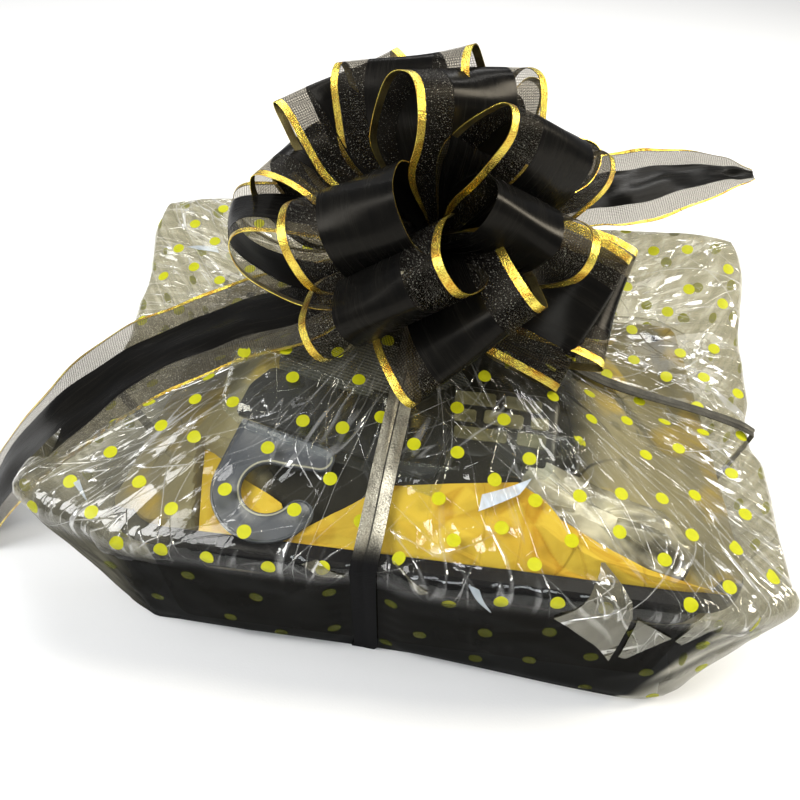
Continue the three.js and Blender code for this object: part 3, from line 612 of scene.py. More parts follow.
@dataclass(frozen=True)
class ClearFilm(Look):
    """Clear cellophane in slender facets with thin creases, denser and duller where it is gathered, with
    painted shade and painted crease highlights.
    """

    tint: Colour
    dense_tint: Colour = (0.52, 0.5, 0.4)
    shade_tint: Colour = (0.02, 0.022, 0.028)
    haze_colour: Colour = (0.5, 0.47, 0.34)
    facing_gloss: float = 0.03
    edge_gloss: float = 0.6
    roughness: float = 0.06
    haze: Pair = (0.008, 0.2)
    tilt: float = 0.3
    wide_facet: Pair = (9.0, 44.0)
    slender_facet: Pair = (3.6, 12.0)
    line_cell: Pair = (8.0, 90.0)
    line_width: float = 0.018
    cross_cell: Pair = (17.0, 120.0)
    cross_width: float = 0.009
    cross_turns: Place = (24.0, -31.0, 58.0)
    crease_depth: float = 0.0008
    line_gloss: float = 0.3
    stretched_lines: float = 0.5
    shaded_gloss: float = 0.12
    crease_highlight_colour: Colour = (0.9, 0.9, 0.86)
    crease_highlight: float = 0.36

    def light(self, bench: Bench) -> Socket:
        """Light through the film, from its haze and painted crease highlights, and off its creased surface,
        darkened by painted shade where marked.
        """
        slender = bench.cells(self.slender_facet)
        gather = bench.mark(Mark.GATHER)
        shade = bench.mark(Mark.SHADE)
        tilt = bench.spread(gather, 0.0, 1.0, 0.4 * self.tilt, self.tilt)
        tilt = bench.times(bench.where(shade, 0.12), tilt)
        normal = bench.facets(bench.cells(self.wide_facet), tilt, bench.put("NewGeometry").outputs["Normal"])
        normal = bench.facets(slender, bench.times(tilt, 0.7), normal)
        lines = bench.streaks(bench.cells(self.line_cell), self.line_width)
        for turn in self.cross_turns:
            crossing = bench.streaks(bench.cells(self.cross_cell, turn), self.cross_width)
            lines = bench.math("MAXIMUM", lines, crossing)
        lines = bench.times(lines, bench.where(shade, 0.04))
        lines = bench.times(lines, bench.spread(gather, 0.0, 0.35, self.stretched_lines, 1.0))
        relief = {"Height": lines, "Distance": self.crease_depth, "Strength": 1.0, "Normal": normal}
        normal = bench.put("Bump", relief).outputs["Normal"]
        dense = bench.times(gather, bench.spread(bench.noise(slender, 0.6, 3.0), 0.3, 0.7, 0.4, 1.3))
        facing = bench.put("LayerWeight", {"Blend": 0.5}).outputs["Facing"]
        gloss = bench.times(bench.math("POWER", facing, 4.0), self.edge_gloss, self.facing_gloss)
        gloss = bench.times(lines, self.line_gloss, gloss)
        gloss = bench.times(dense, 0.04, gloss)
        gloss = bench.times(gloss, bench.where(shade, self.shaded_gloss))
        # Painted shade: where the film is marked shaded it passes a near-black tint and keeps only a share of
        # its gloss.
        tint = bench.blend(shade, bench.blend(dense, self.tint, self.dense_tint), self.shade_tint)
        milky = bench.spread(dense, 0.0, 1.2, *self.haze)
        film = bench.mix(milky, bench.light("Transparent", tint), bench.light("Diffuse", self.haze_colour))
        # Painted highlight: pale diffuse colour along the crease lines.
        film = bench.mix(bench.times(lines, self.crease_highlight), film, bench.light("Diffuse", self.crease_highlight_colour))
        shine = bench.light("Glossy", (1.0, 1.0, 1.0), {"Roughness": self.roughness, "Normal": normal})
        return bench.mix(gloss, film, shine)


@dataclass(frozen=True)
class DotInk(Look):
    """Translucent printed ink of the film's dots."""

    colour: Colour
    painted_shade_colour: Colour
    clear: Colour = (0.9, 0.95, 0.6)
    cover: Pair = (0.74, 0.88)
    dim_cover: float = 0.34
    far_cover: float = 0.7
    glow: float = 0.35

    def light(self, bench: Bench) -> Socket:
        """Light from the ink and through it, with painted shade (a dim colour and thinner cover) where the film
        is marked shaded, and thinner cover on the far sides.
        """
        shade = bench.mark(Mark.SHADE)
        cover = bench.spread(bench.noise(bench.solid(), 260.0, 3.0), 0.3, 0.7, *self.cover)
        cover = bench.times(cover, bench.where(shade, self.dim_cover))
        cover = bench.times(cover, bench.where(bench.mark(Mark.GATHER), self.far_cover))
        # Painted shade: the dots take the dim colour where marked shaded.
        colour = bench.blend(shade, self.colour, self.painted_shade_colour)
        inked = bench.mix(self.glow, bench.body(colour, 0.35, 0.4), bench.light("Translucent", colour))
        return bench.mix(cover, bench.light("Transparent", self.clear), inked)


@dataclass(frozen=True)
class Satin(Look):
    """Black satin ribbon with fine lengthwise threads and a warm sheen."""

    colour: Colour
    raised: Colour
    roughness: Pair
    warmth: Colour = (1.0, 0.93, 0.8)
    dull_and_shade: float = 0.4

    def light(self, bench: Bench) -> Socket:
        """Light of the threads, dulled so that the ribbon stays black where it turns away."""
        threads = bench.noise(bench.flat(0.05, 3.2), 1.0, 3.0)
        bands = bench.noise(bench.flat(0.03, 0.25), 1.0)
        weave = bench.times(bands, 0.6, bench.times(threads, 0.4))
        colour = bench.ramp(weave, (0.35, self.colour), (0.7, self.raised))
        roughness = bench.spread(weave, 0.3, 0.7, *self.roughness)
        normal = bench.bump(threads, 0.00005, 0.6)
        others = {"Normal": normal, "Specular Tint": self.warmth, "Anisotropic": 0.4}
        return bench.dulled(bench.body(colour, roughness, 0.15, others), self.dull_and_shade)


@dataclass(frozen=True)
class Sheer(Look):
    """Dark sheer ribbon: a fine square mesh of threads, with painted sparkle."""

    colour: Colour
    thread_pitch: float = 1.15
    cover: Pair = (0.12, 0.5)
    painted_sparkle: Colour = (0.6, 0.58, 0.5)
    warmth: Colour = (1.0, 0.92, 0.75)
    clear: Colour = (0.98, 0.96, 0.92)

    def light(self, bench: Bench) -> Socket:
        """Light from the threads and through the gaps between them."""
        cover = bench.spread(bench.math("MAXIMUM", *bench.waves(self.thread_pitch)), 0.2, 0.95, *self.cover)
        glitter = bench.bump(bench.noise(bench.flat(), 2.3, 1.0), 0.00012)
        # Painted sparkle: pale specks in the colour stand in for glints off the threads.
        sparkle_spots = bench.spread(bench.noise(bench.flat(2.4, 1.5), 1.0, 0.0), 0.7, 0.76, 0.0, 0.8)
        colour = bench.blend(sparkle_spots, self.colour, self.painted_sparkle)
        woven = bench.body(colour, 0.35, 0.2, {"Specular Tint": self.warmth, "Normal": glitter})
        return bench.mix(cover, bench.light("Transparent", self.clear), woven)


@dataclass(frozen=True)
class Foil(Look):
    """Metal foil edge or band, speckled where the coating is broken."""

    bright: Colour
    worn: Colour
    roughness: float = 0.24
    speckle: float = 1.6
    shaded: Colour = (0.006, 0.006, 0.007)

    def light(self, bench: Bench) -> Socket:
        """Light of the foil, which turns to matt black where it is marked as shaded."""
        flat = bench.flat()
        speckles = bench.noise(flat, self.speckle, 4.0)
        wear = bench.times(bench.noise(flat, 0.12), 0.55, bench.times(speckles, 0.55))
        shade = bench.mark(Mark.SHADE)
        colour = bench.blend(shade, bench.ramp(wear, (0.44, self.bright), (0.68, self.worn)), self.shaded)
        metal = bench.spread(shade, 0.0, 1.0, 0.9, 0.0)
        others = {"Metallic": metal, "Normal": bench.bump(speckles, 0.00035, 0.8)}
        return bench.dulled(bench.body(colour, self.roughness, 0.1, others), bench.times(shade, 0.8))


@dataclass(frozen=True)
class Knit(Look):
    """Knitted dark cloth with ribs along its length."""

    colour: Colour
    raised: Colour
    rib: float = 1.6

    def light(self, bench: Bench) -> Socket:
        """Light of the ribs, the loops across them and their fuzz."""
        loops, ribs = bench.waves(self.rib)
        relief = bench.times(loops, 0.35, ribs)
        shade = bench.times(relief, 0.22, bench.noise(bench.flat(), 1.3, 3.0))
        colour = bench.ramp(shade, (0.3, self.colour), (0.75, self.raised))
        return bench.body(colour, 0.85, 0.5, {"Sheen Weight": 0.3, "Normal": bench.bump(relief, 0.0003, 0.8)})


TRAY_PLASTIC = GlossPlastic("gloss_black_tray", (0.006, 0.006, 0.008), (0.012, 0.012, 0.014), gloss=0.15)
HOOK_PLASTIC = GlossPlastic("grey_hook_plastic", (0.07, 0.078, 0.102), (0.09, 0.098, 0.126), (0.25, 0.4))
# Painted highlight: the hook's raised line is coloured pale where light catches it.
PAINTED_HOOK_HIGHLIGHT = GlossPlastic("hook_line_painted_highlight", (0.3, 0.3, 0.25), (0.42, 0.42, 0.36), (0.2, 0.35))
HOOK_RIM = GlossPlastic("dark_hook_rim", (0.04, 0.045, 0.06), (0.06, 0.07, 0.09), (0.2, 0.35))
CARD_BLACK = GlossPlastic("coated_black_card", (0.01, 0.01, 0.011), (0.018, 0.017, 0.016), (0.24, 0.36))
PACK_BLACK = GlossPlastic("printed_black_pack", (0.012, 0.012, 0.009), (0.024, 0.023, 0.017), (0.3, 0.45))
PACK_PRINT = GlossPlastic("olive_grey_print", (0.1, 0.095, 0.05), (0.26, 0.245, 0.14), (0.4, 0.55), grain=110)
# Painted highlights: the pouch's pale patches stand in for glints on its crumpled film.
POUCH_FOIL = GlossPlastic("smoky_pouch", (0.06, 0.054, 0.036), (0.78, 0.74, 0.58), (0.1, 0.2), 0.8, 48.0)
DARK_KNIT = Knit("dark_knit", (0.025, 0.025, 0.02), (0.09, 0.088, 0.07))
# The tissues' deep colours are painted shade: deeper orange on the yellow sheet's creases and turned facets,
# near black in the middle of the pale bed.
YELLOW_TISSUE = Tissue("yellow_tissue", (0.84, 0.6, 0.06), (0.6, 0.33, 0.015))
PALE_TISSUE = Tissue("pale_filling", (0.4, 0.36, 0.22), (0.02, 0.019, 0.014), 0.2, (0.72, 0.52, 0.07))
FILM = ClearFilm("clear_film", (0.95, 0.94, 0.87))
# Painted glint: a whitish-blue haze on a few laid folds stands in for reflected light.
PAINTED_GLINT_FOLD = ClearFilm(
    "film_fold_painted_glint", (0.95, 0.94, 0.87), haze_colour=(0.78, 0.88, 1.0), haze=(0.1, 0.95), crease_highlight=0.1
)
SLEEVE = ClearFilm(
    "clear_sleeve", (0.93, 0.95, 0.97), facing_gloss=0.04, edge_gloss=0.9, roughness=0.04, tilt=0.04,
    line_gloss=0.03, crease_highlight=0.05,
)
# Second colour: painted shade for dots on the shaded film.
DOT_INK = DotInk("lime_dot_ink", (0.7, 0.7, 0.015), (0.24, 0.25, 0.015))
SATIN = Satin("black_satin", (0.0015, 0.0014, 0.0012), (0.008, 0.007, 0.005), (0.18, 0.32))
SATIN_BACK = Satin("black_satin_back", (0.003, 0.0028, 0.0022), (0.012, 0.0105, 0.008), (0.36, 0.5))
SHEER = Sheer("dark_sheer", (0.006, 0.005, 0.004))
TAIL_SHEER = Sheer("smoky_tail_sheer", (0.065, 0.06, 0.047), cover=(0.26, 0.6))
GOLD = Foil("gold_edge", (0.95, 0.8, 0.14), (0.42, 0.19, 0.02))
GOLD_BACK = Foil("dull_gold_back", (0.3, 0.25, 0.1), (0.16, 0.12, 0.05), 0.4)
TIE_FOIL = Foil("silver_tie", (0.48, 0.45, 0.35), (0.2, 0.185, 0.145), 0.36, 1.2)
FLOOR_WHITE = Tissue("pale_floor", (0.86, 0.86, 0.85), (0.84, 0.84, 0.83), 0.0)


@dataclass(frozen=True)
class Tray:
    """Moulded black tray under the film, and its outline for what stands in it."""

    rim: Pair = (270.0, 215.0)
    base: Pair = (237.0, 182.0)
    height: float = 70.0
    lip_width: float = 5.0
    lip_depth: float = 3.5
    film_room: float = 3.0

    def inner_half(self, inset: float) -> Pair:
        """Half the width and the depth inside the lip, less an inset."""
        return tuple(size / 2 - self.lip_width - inset for size in self.rim)

    def dress(self, node: Piece) -> None:
        """Give the moulded tray its finish."""
        node.data.materials.clear()
        node.data.materials.append(TRAY_PLASTIC.material())
        LOG.info("tray: %d faces", len(node.data.polygons))

    def push_clear(self, points: Array) -> Array:
        """Move points of the film outwards where they would cut the tray.

        Args:
            points: Places of the film, in one or more rows.

        Returns:
            The places, moved.
        """
        z = points[..., 2]
        top = self.height + self.lip_depth
        up = np.clip(z / self.height, 0, 1)
        lip = np.where((z > self.height - 3 * self.lip_depth) & (z < top), 0.0, self.lip_width)
        sizes = zip(self.base, self.rim)
        wall = together(*((low * (1 - up) + high * up) / 2 - lip * up for low, high in sizes))
        short = wall + self.film_room - np.abs(points[..., :2])
        cuts = (z < top) & (short > 0).all(axis=-1)
        sideways = short[..., 0] < short[..., 1]
        moves = together(cuts & sideways, cuts & ~sideways)
        moved = points.copy()
        moved[..., :2] += np.where(moves, np.sign(points[..., :2]) * short, 0)
        return moved


@dataclass(frozen=True)
class FilmStop:
    """One place on the way round the film: its outermost point, its foot and its sag."""

    edge: Place
    foot: Pair
    sag: float


FILM_STOPS = (
    FilmStop((-178, -90, 73), (-127, -91), 1),
    FilmStop((-140, -105, 70), (-112, -94), -3),
    FilmStop((-80, -111.5, 71), (-75, -95), -3),
    FilmStop((0, -112, 71), (0, -96), -1),
    FilmStop((80, -111.5, 71), (70, -103), -1),
    FilmStop((128, -108, 69), (100, -105), 0),
    FilmStop((156, -96, 67), (114, -101), 3),
    FilmStop((152, -60, 74), (121.5, -62), 6),
    FilmStop((151, -8, 84), (122, -10), 12),
    FilmStop((151, 51, 101), (122, 45), 12),
    FilmStop((149, 97, 131), (118, 92), 18),
    FilmStop((75, 113, 124), (65, 95), 13),
    FilmStop((0, 114, 122), (0, 95.5), 9),
    FilmStop((-85, 113, 125), (-70, 95), 14),
    FilmStop((-172, 105, 118), (-118, 92), 16),
    FilmStop((-168, 60, 99), (-122, 50), 12),
    FilmStop((-166, 18, 79), (-122, 12), 5),
    FilmStop((-172, -40, 73), (-122, -40), 3),
)


@dataclass(frozen=True)
class FilmForm:
    """Smooth form of the film: its side from the foot to the edge, and its top up to the neck."""

    tray: Tray
    neck: Place = (-12.0, 26.0, 130.0)
    neck_radius: float = 10.0
    slope_power: float = 1.03
    foot_z: float = 0.4
    straightness: float = 0.55

    def around(self, position: Array, values: list) -> Array:
        """Smooth closed run through one value, or a few, of each stop.

        Args:
            position: Places on the way round, where a stop is a whole number.
            values: One row for each stop.

        Returns:
            One row for each position.
        """
        rows = np.array(values, float)
        whole = np.floor(position).astype(int)
        share = (position - whole)[:, None]
        before, start, end, after = (rows[(whole + offset) % len(rows)] for offset in (-1, 0, 1, 2))
        curved = bent(start, end, (end - before) / 2, (after - start) / 2, share)
        return curved * (1 - self.straightness) + (start + (end - start) * share) * self.straightness

    def edges(self, position: Array) -> Array:
        """Outermost points of the film."""
        return self.around(position, [stop.edge for stop in FILM_STOPS])

    def side(self, position: Array, up: Array) -> Array:
        """Points of the side, where up is 0 at the foot and 1 at the edge."""
        foot = self.around(position, [(*stop.foot, self.foot_z) for stop in FILM_STOPS])
        return self.tray.push_clear(foot + (self.edges(position) - foot) * np.asarray(up)[..., None])

    def top(self, position: Array, inward: Array) -> Array:
        """Points of the top.

        Args:
            position: Places on the way round.
            inward: How far in each point lies, from 0 at the edge to 1 at the neck.

        Returns:
            One point for each position.
        """
        edge = self.edges(position)
        sag = self.around(position, [[stop.sag] for stop in FILM_STOPS])[:, 0]
        neck = np.array(self.neck)
        gathered = neck + unit((edge - neck) * (1, 1, 0)) * self.neck_radius
        points = edge + (gathered - edge) * inward[:, None]
        rise = edge[:, 2] + (gathered[:, 2] - edge[:, 2]) * inward**self.slope_power
        points[:, 2] = rise - sag * np.sin(math.pi * inward) ** 2
        return points

    def tree(self, around: int = 240, rings: int = 40) -> BVHTree:
        """Search tree over the smooth top."""
        position = np.arange(around) * len(FILM_STOPS) / around
        rows = [self.top(position, np.full(around, inward)) for inward in np.linspace(0, 1, rings)]
        skin = Skin()
        skin.add(np.array(rows), grid_faces(rings, around, wrap=True))
        return skin.tree()

    def crossing(self, axis: int, value: float, low: float, high: float) -> float:
        """Place on the way round where the edge crosses a line.

        Args:
            axis: 0 for a line of constant X, 1 for one of constant Y.
            value: Where that line lies.
            low: Place on the way round before the crossing.
            high: Place after it.

        Returns:
            The place, between the two.
        """
        for _ in range(40):
            middle = (low + high) / 2
            ends = self.edges(np.array([low, middle]))[:, axis] - value
            if (ends[0] < 0) == (ends[1] < 0):
                low = middle
            else:
                high = middle
        return low


@dataclass
class Band:
    """Run of a ribbon: its middle line, the way across it, the way it faces and its width."""

    middles: Array
    across: Array
    facing: Array
    widths: Array

    def add_to(
        self, skin: Skin, columns: Array, lifts: Array, thickness: float, outer: int | Array = 0,
        inner: int | Array = 0, flat_width: float | None = None,
    ) -> None:
        """Add the ribbon to a skin as a thin closed band.

        Args:
            skin: Skin that takes the band.
            columns: Places across the ribbon, from -0.5 to 0.5 of its width.
            lifts: Distance of each point from the flat band, one row for each step.
            thickness: Thickness of the ribbon.
            outer: Finish of each strip between two columns on the side that it faces.
            inner: Finish of each strip on the other side.
            flat_width: Width of the flat material, where the band is gathered.
        """
        facing = self.facing[:, None, :]
        spread = self.across[:, None, :] * (columns[None, :, None] * self.widths[:, None, None])
        middle = self.middles[:, None, :] + spread + facing * lifts[:, :, None]
        length = np.concatenate([[0], np.cumsum(np.linalg.norm(np.diff(self.middles, axis=0), axis=1))])
        width = self.widths.max() if flat_width is None else flat_width
        flat = together(length[:, None], columns[None, :] * width)
        skin.add_slab(middle, facing * (thickness / 2), flat, outer, inner)


class Leg(Enum):
    """Legs of the tie: axis of its line, the line's place, and the stops that it crosses between."""

    FRONT = (0, -22.0, 2, 3)
    BACK = (0, -22.0, 12, 13)
    RIGHT = (1, -8.0, 7, 9)
    LEFT = (1, -8.0, 16, 17)


@dataclass
class Tie:
    """Silver ribbon tied crosswise round the film, with a crease along its middle and painted shade on parts of
    it.
    """

    form: FilmForm
    width: float = 11.0
    thickness: float = 0.5
    lift: float = 1.0
    crown_reach: float = 0.985
    film_gap: float = 0.75
    even_over: int = 3
    # Painted shade: the foil is marked shaded, turning matt black, below these heights, by a share over the
    # whole right leg, and along the given crease columns.
    painted_shade_below: Pair = (73.5, 79.5)
    dull_and_shade: float = 0.6
    crease: float = 0.9
    crease_reach: float = 0.07
    painted_crease_shade: float = 0.75
    crease_columns: Pair = (0.0, 0.03)
    drift: float = 0.35
    slim: float = 0.62
    ground: float = 0.3
    top_steps: int = 44
    side_steps: int = 18
    under_steps: int = 9
    under_z: float = 0.65
    collar: Place = (10.3, 13.2, 6.0)
    collar_raise: float = 0.6
    collar_turns: int = 64
    collar_section: int = 24
    columns: tuple[float, ...] = (-0.5, -0.47, -0.3, -0.12, -0.03, 0.0, 0.03, 0.06, 0.12, 0.3, 0.47, 0.5)

    def run(self, leg: Leg) -> tuple[Array, Array]:
        """Way of one leg from the neck to its foot.

        Args:
            leg: The leg.

        Returns:
            Its middle line and the direction that its outer face looks in.
        """
        axis, line, first, last = leg.value
        position = self.form.crossing(axis, line, first, last)
        inward = np.linspace(self.crown_reach, 0.0, self.top_steps)
        up = np.linspace(1.0, 0.0, self.side_steps)[1:]
        top = self.form.top(np.full(len(inward), position), inward)
        points = np.concatenate([top, self.form.side(np.full(len(up), position), up)])
        points[-1, axis] = line
        along = unit(np.gradient(points, axis=0))
        away = points - (*self.form.neck[:2], self.form.tray.height / 2)
        outward = unit(away - along * (away * along).sum(axis=1, keepdims=True))
        return points + outward * self.lift, outward

    def over(self, points: Array, film: BVHTree) -> Array:
        """Raise a leg, evenly over a short way, where the film would come through.

        Args:
            points: Middle line of the leg.
            film: Search tree over the film.

        Returns:
            The raised middle line.
        """
        needed = np.zeros(len(points))
        across = unit(np.cross(np.gradient(points, axis=0), (0.0, 0.0, 1.0)))
        for number, (point, side) in enumerate(zip(points[: self.top_steps], across)):
            for share in (-0.5, -0.25, 0.0, 0.25, 0.5):
                x, y, _ = point + side * share * self.width
                height = surface(film, x, y)
                if height is not None:
                    needed[number] = max(needed[number], height + self.film_gap - point[2])
        shifts = range(-self.even_over, self.even_over + 1)
        widest = np.max([np.roll(needed, shift) for shift in shifts], axis=0)
        even = np.mean([np.roll(widest, shift) for shift in shifts], axis=0)
        raised = points.copy()
        raised[: self.top_steps, 2] += even[: self.top_steps]
        return raised

    def skin(self, film: BVHTree) -> Skin:
        """Closed bands of the whole tie.

        Args:
            film: Search tree over the film.

        Returns:
            Its legs, the two runs under the tray and the collar.
        """
        skin = Skin()
        columns = np.array(self.columns)
        fold = -self.crease * np.exp(-((columns / self.crease_reach) ** 2)) + 0.5 * np.abs(columns)
        line = self.painted_crease_shade * np.isin(columns, self.crease_columns)
        for number, leg in enumerate(Leg):
            points, outward = self.run(leg)
            points = self.over(points, film)
            slim, dull_and_shade = (self.slim, self.dull_and_shade) if leg is Leg.RIGHT else (1.0, 0.0)
            steps = np.arange(len(points))[:, None]
            drift = self.drift * np.sin(steps * 0.31 + columns * 5 + number)
            lifts = np.maximum(fold + drift * np.sin(steps / steps[-1] * math.pi), -0.2)
            across = unit(np.cross(unit(np.gradient(points, axis=0)), outward))
            band = Band(points, across, outward, np.full(len(points), self.width * slim))
            band.add_to(skin, columns, lifts, self.thickness)
            height = skin.points[-1][:, 2]
            np.maximum(height, self.ground, out=height)
            # Painted shade: the marks darken the front below the rim, the right leg and a line beside the
            # crease.
            shade = np.maximum(fall(height, *self.painted_shade_below), dull_and_shade)
            skin.marks[Mark.SHADE][-1] = np.maximum(shade, np.tile(line, 2 * len(points)))
        for pair in ((Leg.FRONT, Leg.BACK), (Leg.RIGHT, Leg.LEFT)):
            ends = np.array([self.run(leg)[0][-1] for leg in pair])
            ends[:, 2] = self.under_z
            points = np.linspace(*ends, self.under_steps)
            down = np.tile([0.0, 0.0, -1.0], (len(points), 1))
            across = unit(np.cross(unit(np.gradient(points, axis=0)), down))
            band = Band(points, across, down, np.full(len(points), self.width))
            band.add_to(skin, columns, np.zeros((len(points), len(columns))), self.thickness)
            # Painted shade: the runs under the tray are marked fully shaded.
            skin.marks[Mark.SHADE][-1] += 1
        self._add_collar(skin)
        return skin

    def _add_collar(self, skin: Skin) -> None:
        """Add the turns of ribbon round the film's neck."""
        inner, outer, height = self.collar
        turns, section = self.collar_turns, self.collar_section
        middle = (inner + outer) / 2
        angle = full_turn(turns)[None, :]
        phase = full_turn(section)[:, None]
        wraps = 1 + 0.12 * np.cos(3 * phase)
        radius = middle + (outer - inner) / 2 * np.cos(phase) * wraps * (1 + 0.05 * np.sin(7 * angle))
        x, y, z = self.form.neck
        z = z + self.collar_raise + height / 2 * np.sin(phase) + 0.4 * np.sin(angle * 2)
        points = together(x + radius * np.cos(angle), y + radius * np.sin(angle), z)
        faces = grid_faces(section + 1, turns, wrap=True) % (section * turns)
        skin.add(points, faces, 0, together(angle * middle, phase * height / 2))

    def build(self, film: BVHTree) -> None:
        """Make the tie over the film."""
        settle(self.skin(film).make("tie_band", [TIE_FOIL.material()], 50), Slot.TIE, "ribbon_tie")


class Finish(Enum):
    """Finishes of the bow's ribbon, in the order of a ribbon piece's materials."""

    GOLD = 0
    SHEER = 1
    SATIN = 2
    GOLD_BACK = 3
    SATIN_BACK = 4


class Tuck(Enum):
    """Edge of a loop that is tucked out of sight: where its columns start or where they end."""

    LOW = "low"
    HIGH = "high"


@dataclass(frozen=True)
class BowRibbon:
    """Wide ribbon of the bow: satin in the middle, sheer beside it and gold along both edges."""

    width: float = 70.0
    thickness: float = 0.35
    satin_edge: float = 0.245
    gold_edge: float = 0.447
    strips: tuple[int, ...] = (3, 4, 8, 4, 3)

    def columns(self) -> Array:
        """Places across the ribbon, with one at each change of finish."""
        edges = (-0.5, -self.gold_edge, -self.satin_edge, self.satin_edge, self.gold_edge, 0.5)
        spans = zip(edges, edges[1:], self.strips)
        runs = [np.linspace(*ends, count, endpoint=False) for *ends, count in spans]
        return np.append(np.concatenate(runs), 0.5)

    def finishes(self, edge: Finish, middle: Finish) -> Array:
        """Finish of each strip between two columns, on the front or the back."""
        order = (edge, Finish.SHEER, middle, Finish.SHEER, edge)
        return np.repeat([kind.value for kind in order], self.strips)

    def add(self, skin: Skin, band: Band, lifts: Array, tucked: Tuck | None = None) -> None:
        """Add a run of this ribbon to a skin.

        Args:
            skin: Skin that takes the run.
            band: The way of the ribbon.
            lifts: Distance of each point from the flat band.
            tucked: Edge that is left off, because it is tucked out of sight.
        """
        hidden = sum(self.strips[:2])
        first = hidden if tucked is Tuck.LOW else 0
        last = sum(self.strips) - (hidden if tucked is Tuck.HIGH else 0)
        front = self.finishes(Finish.GOLD, Finish.SATIN)[first:last]
        back = self.finishes(Finish.GOLD_BACK, Finish.SATIN_BACK)[first:last]
        shown = slice(first, last + 1)
        band.add_to(skin, self.columns()[shown], lifts[:, shown], self.thickness, front, back, self.width)

    @staticmethod
    def materials() -> list[Material]:
        """Finishes in the order of Finish."""
        return [finish.material() for finish in (GOLD, SHEER, SATIN, GOLD_BACK, SATIN_BACK)]


@dataclass(frozen=True)
class Loop:
    """One loop of the bow: where it points, how it is rolled, its reach, opening and bend."""

    heading: float
    lift: float
    roll: float
    reach: float
    opening: float
    bend: float
    tucked: Tuck | None = None


LOOPS = (
    Loop(-113, 31, 33, 84, 26, -2, Tuck.HIGH),
    Loop(-101, 7, 37, 90, 20, -1),
    Loop(-78, -1, 44, 87, 16, -7),
    Loop(-24, -10, 48, 87, 13, -1),
    Loop(-6, -17, 27, 93, 11, 12),
    Loop(-52, 35, -33, 81, 19, -6, Tuck.LOW),
    Loop(-22, 46, -37, 85, 18, 4),
    Loop(8, 83, -59, 82, 21, -3),
    Loop(145, 73, 103, 84, 13, -1),
    Loop(145, 42, 161, 89, 7, -5),
    Loop(-164, -10, 186, 91, 22, -26),
    Loop(160, 17, 170, 84, 18, -6),
    Loop(47, 11, -40, 86, 16, 0),
    Loop(67, 30, -54, 85, 13, 0),
    Loop(99, 8, -53, 86, 13, 0),
    Loop(137, 12, -9, 86, 14, 0),
)


